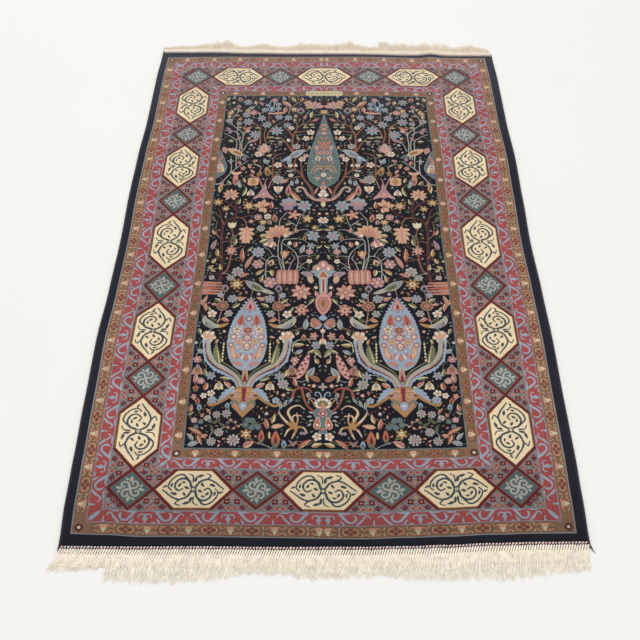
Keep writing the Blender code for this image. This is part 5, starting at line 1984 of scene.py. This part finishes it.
class CARPET_OT_side_cords(bpy.types.Operator):
    """Overcast both sides with navy wool"""

    bl_idname = "carpet.side_cords"
    bl_label = "Side cords"

    def execute(self, context):
        yarn = context.scene.carpet_yarn
        wool = yarn_material("overcast_wool", yarn.navy_wool, 5, sheen=0.4)
        tree = overcast_tree()
        loose = yarn_tree()
        for side, name in ((-1, "left"), (1, "right")):
            values = {"Yarn": yarn.overcast_yarn, "Pitch": yarn.overcast_pitch, "Seed": 3 + side,
                      "Wool": wool, "Lean": 0.25 * side}
            meshes = [grown(tree, line_mesh("line", [cord_line(side)]), values)]
            if side > 0:
                x, y, _ = cord_line(side)[0]
                tail = [(x + TAIL_ROOT.out, y - TAIL_ROOT.on, CORD_HEIGHT / 2)]
                tail += [(x + turn.out, y - turn.on, turn.thick / 2) for turn in TAIL]
                thick = [turn.thick for turn in (TAIL_ROOT, *TAIL)]
                meshes.append(grown(loose, line_mesh("tail", [tail], [thick]), {"Yarn": wool, "Sides": 6}))
            joined_piece(f"overcast_{name}", meshes, f"side_cord_{name}")
        return {"FINISHED"}


class CARPET_OT_twined_bands(bpy.types.Operator):
    """Twine the narrow band across each end"""

    bl_idname = "carpet.twined_bands"
    bl_label = "Twined bands"

    def execute(self, context):
        dyes, yarn = context.scene.carpet_dyes, context.scene.carpet_yarn
        dark = yarn_material("weft_wool", yarn.navy_wool, 7)
        light = yarn_material("twined_cotton", linear("#EFE6DE"), 11)
        red = yarn_material("twined_wool", dyes.oxblood, 13)
        tree = stitch_tree()
        for edge, end, name in ((near_edge, -1, "near"), (far_edge, 1, "far")):
            line = end_line(edge, end, 0, 0)
            depth, height = BAND_DEPTH, BAND_HEIGHT
            profile = ((0, 0), (0, 0.4 * height), (-0.25 * depth, 0.7 * height),
                       (-0.8 * depth, 0.8 * height), (-depth, 0.6 * height), (-depth, 0))
            row = line_mesh("row", [end_line(edge, end, TWINING_DEPTH, 0.7 * height)])
            values = {"One yarn": light, "Other yarn": red, "Seed": 2, "Lean": 0.25}
            meshes = [strip_mesh("band", line, profile, end, dark), grown(tree, row, values)]
            joined_piece(f"twining_{name}", meshes, f"twined_band_{name}")
        return {"FINISHED"}


class CARPET_OT_fringes(bpy.types.Operator):
    """Knot a heading and comb out the warps at both ends"""

    bl_idname = "carpet.fringes"
    bl_label = "Fringes"

    def execute(self, context):
        yarn = context.scene.carpet_yarn
        cotton = yarn_material("warp_cotton", yarn.cotton, 17, 0.6, linear("#FFEDD6"))
        # Painted shade: the strip under the heading's knots is dark, and shows as the holes between them.
        shade = yarn_material("soiled_cotton", linear("#856F5F"), 19)
        aged = yarn_material("aged_cotton", linear("#FCEEDC"), 29, 0.6, linear("#FFEDD6"))
        # The lowest warps are real warps in a darker tan. The tan is partly painted shade that shows between
        # the warps above them.
        lower = yarn_material("lower_cotton", linear("#E4D2BA"), 23, 0.4)
        knots, loose = stitch_tree(), yarn_tree()
        for edge, end, locks, combing, seed, rest, warps, name in (
            (near_edge, -1, NEAR_LOCKS, NEAR_COMBING, 4, LOWEST_WARPS_NEAR, cotton, "near"),
            (far_edge, 1, FAR_LOCKS, FAR_COMBING, 9, LOWEST_WARPS_FAR, aged, "far"),
        ):
            line = end_line(edge, end, BAND_LAP, 0)
            line[0, 0] += HEADING_INSET_LEFT - CORD_WIDTH
            line[-1, 0] += CORD_WIDTH - HEADING_INSET_RIGHT
            deep, high = HEADING_DEPTH + BAND_LAP, HEADING_HEIGHT
            profile = ((0, 0), (0, high), (0.5 * deep, 0.6 * high), (deep, 0.3 * high), (deep, 0))
            # The heading's strip, dark with painted shade between its knots.
            meshes = [strip_mesh("heading", line, profile, end, shade)]
            # The lowest warps lie so close that they hide the floor. Their darker tan is partly painted
            # shade, which shows between the warps above.
            mat = ((0.008, 0), (0.008, 0.0012), (rest - 0.006, 0.0010), (rest, 0.0002), (rest, 0))
            meshes.append(strip_mesh("mat", line, mat, end, lower))
            for row in range(KNOT_ROWS):
                out = KNOT_ROW_INSET + KNOT_ROWS_APART * row
                knot_line = end_line(edge, end, BAND_LAP - out, high * (1 - 0.7 * out / deep))
                knot_line[:, 0] += end * KNOT_ROW_SHIFT * row
                values = {"One yarn": cotton, "Other yarn": cotton, "Seed": seed + row, **KNOT_SIZES}
                meshes.append(grown(knots, line_mesh("knots", [knot_line]), values))
            lines, widths = lock_yarns(edge, end, locks, combing, seed, yarn)
            meshes.append(grown(loose, line_mesh("locks", lines, widths), {"Yarn": warps, "Sides": 4}))
            joined_piece(f"warps_{name}", meshes, f"fringe_{name}")
        return {"FINISHED"}


class CARPET_OT_stage(bpy.types.Operator):
    """Lay the floor and set the lights and the camera"""

    bl_idname = "carpet.stage"
    bl_label = "Stage"

    def execute(self, context):
        scene = context.scene
        scene.view_settings.view_transform = "Standard"
        shape = bmesh.new()
        bmesh.ops.create_grid(shape, x_segments=8, y_segments=8, size=FLOOR_HALF)
        mesh = bpy.data.meshes.new("floor")
        shape.to_mesh(mesh)
        shape.free()
        mesh.transform(Matrix.Translation((0, 0, -FLOOR_DROP)))
        material, tree, shader = new_material("painted_floor")
        place = add(tree, "ShaderNodeTexCoord").outputs["Object"]
        cloud = add(tree, "ShaderNodeTexNoise", {0: place, "Scale": 3.0, "Detail": 3.0})
        level = add(tree, "ShaderNodeMath", {0: cloud, 1: 0.03, 2: 0.985}, operation="MULTIPLY_ADD")
        tone = add(tree, "ShaderNodeHueSaturation",
                   {"Value": level, "Color": (*scene.carpet_yarn.floor, 1.0)})
        tree.links.new(tone.outputs[0], shader.inputs["Base Color"])
        shader.inputs["Roughness"].default_value = 0.8
        shader.inputs["Specular IOR Level"].default_value = 0.1
        mesh.materials.append(material)
        floor = bpy.data.objects.new("floor", mesh)
        context.collection.objects.link(floor)

        world = bpy.data.worlds.new("studio")
        world.use_nodes = True
        sky = world.node_tree.nodes["Background"]
        sky.inputs["Color"].default_value = (*linear("#FFFFFE"), 1.0)
        sky.inputs["Strength"].default_value = WORLD_STRENGTH
        scene.world = world
        for name, place, target, size, energy in LAMPS:
            lamp = bpy.data.lights.new(name, "AREA")
            lamp.shape = "RECTANGLE"
            lamp.size, lamp.size_y = size
            lamp.energy = energy
            holder = bpy.data.objects.new(name, lamp)
            context.collection.objects.link(holder)
            holder.location = place
            holder.rotation_euler = (Vector(target) - Vector(place)).to_track_quat("-Z", "Y").to_euler()

        pitch, yaw, roll = (math.radians(angle) for angle in (CAMERA_PITCH, CAMERA_YAW, CAMERA_ROLL))
        forward = Vector((math.cos(pitch) * math.sin(yaw), math.cos(pitch) * math.cos(yaw), -math.sin(pitch)))
        level_right = Vector((math.cos(yaw), -math.sin(yaw), 0))
        level_up = level_right.cross(forward)
        right = level_right * math.cos(roll) + level_up * math.sin(roll)
        up = level_up * math.cos(roll) - level_right * math.sin(roll)
        lens = bpy.data.cameras.new("camera")
        lens.sensor_width = 36.0
        lens.lens = CAMERA_LENS
        camera = bpy.data.objects.new("camera", lens)
        context.collection.objects.link(camera)
        rotation = Matrix((right, up, -forward)).transposed()
        camera.matrix_world = Matrix.Translation(CAMERA_PLACE) @ rotation.to_4x4()
        scene.camera = camera
        return {"FINISHED"}


class CARPET_PT_panel(bpy.types.Panel):
    """The carpet's pieces and settings"""

    bl_label = "Knotted garden carpet"
    bl_idname = "CARPET_PT_panel"
    bl_space_type = "VIEW_3D"
    bl_region_type = "UI"
    bl_category = "Carpet"

    def draw(self, context):
        layout = self.layout
        for operator in OPERATORS:
            layout.operator(operator.bl_idname)
        for settings in (context.scene.carpet_yarn, context.scene.carpet_dyes):
            box = layout.box()
            for name in settings.__annotations__:
                box.prop(settings, name)


OPERATORS = (CARPET_OT_pile, CARPET_OT_side_cords, CARPET_OT_twined_bands, CARPET_OT_fringes, CARPET_OT_stage)
CLASSES = (DyeSettings, YarnSettings, *OPERATORS, CARPET_PT_panel)


def register():
    for cls in CLASSES:
        bpy.utils.register_class(cls)
    bpy.types.Scene.carpet_dyes = bpy.props.PointerProperty(type=DyeSettings)
    bpy.types.Scene.carpet_yarn = bpy.props.PointerProperty(type=YarnSettings)


def unregister():
    del bpy.types.Scene.carpet_yarn
    del bpy.types.Scene.carpet_dyes
    for cls in reversed(CLASSES):
        bpy.utils.unregister_class(cls)


def main():
    register()
    bpy.ops.carpet.pile()
    bpy.ops.carpet.side_cords()
    bpy.ops.carpet.twined_bands()
    bpy.ops.carpet.fringes()
    bpy.ops.carpet.stage()


if __name__ == "__main__":
    main()
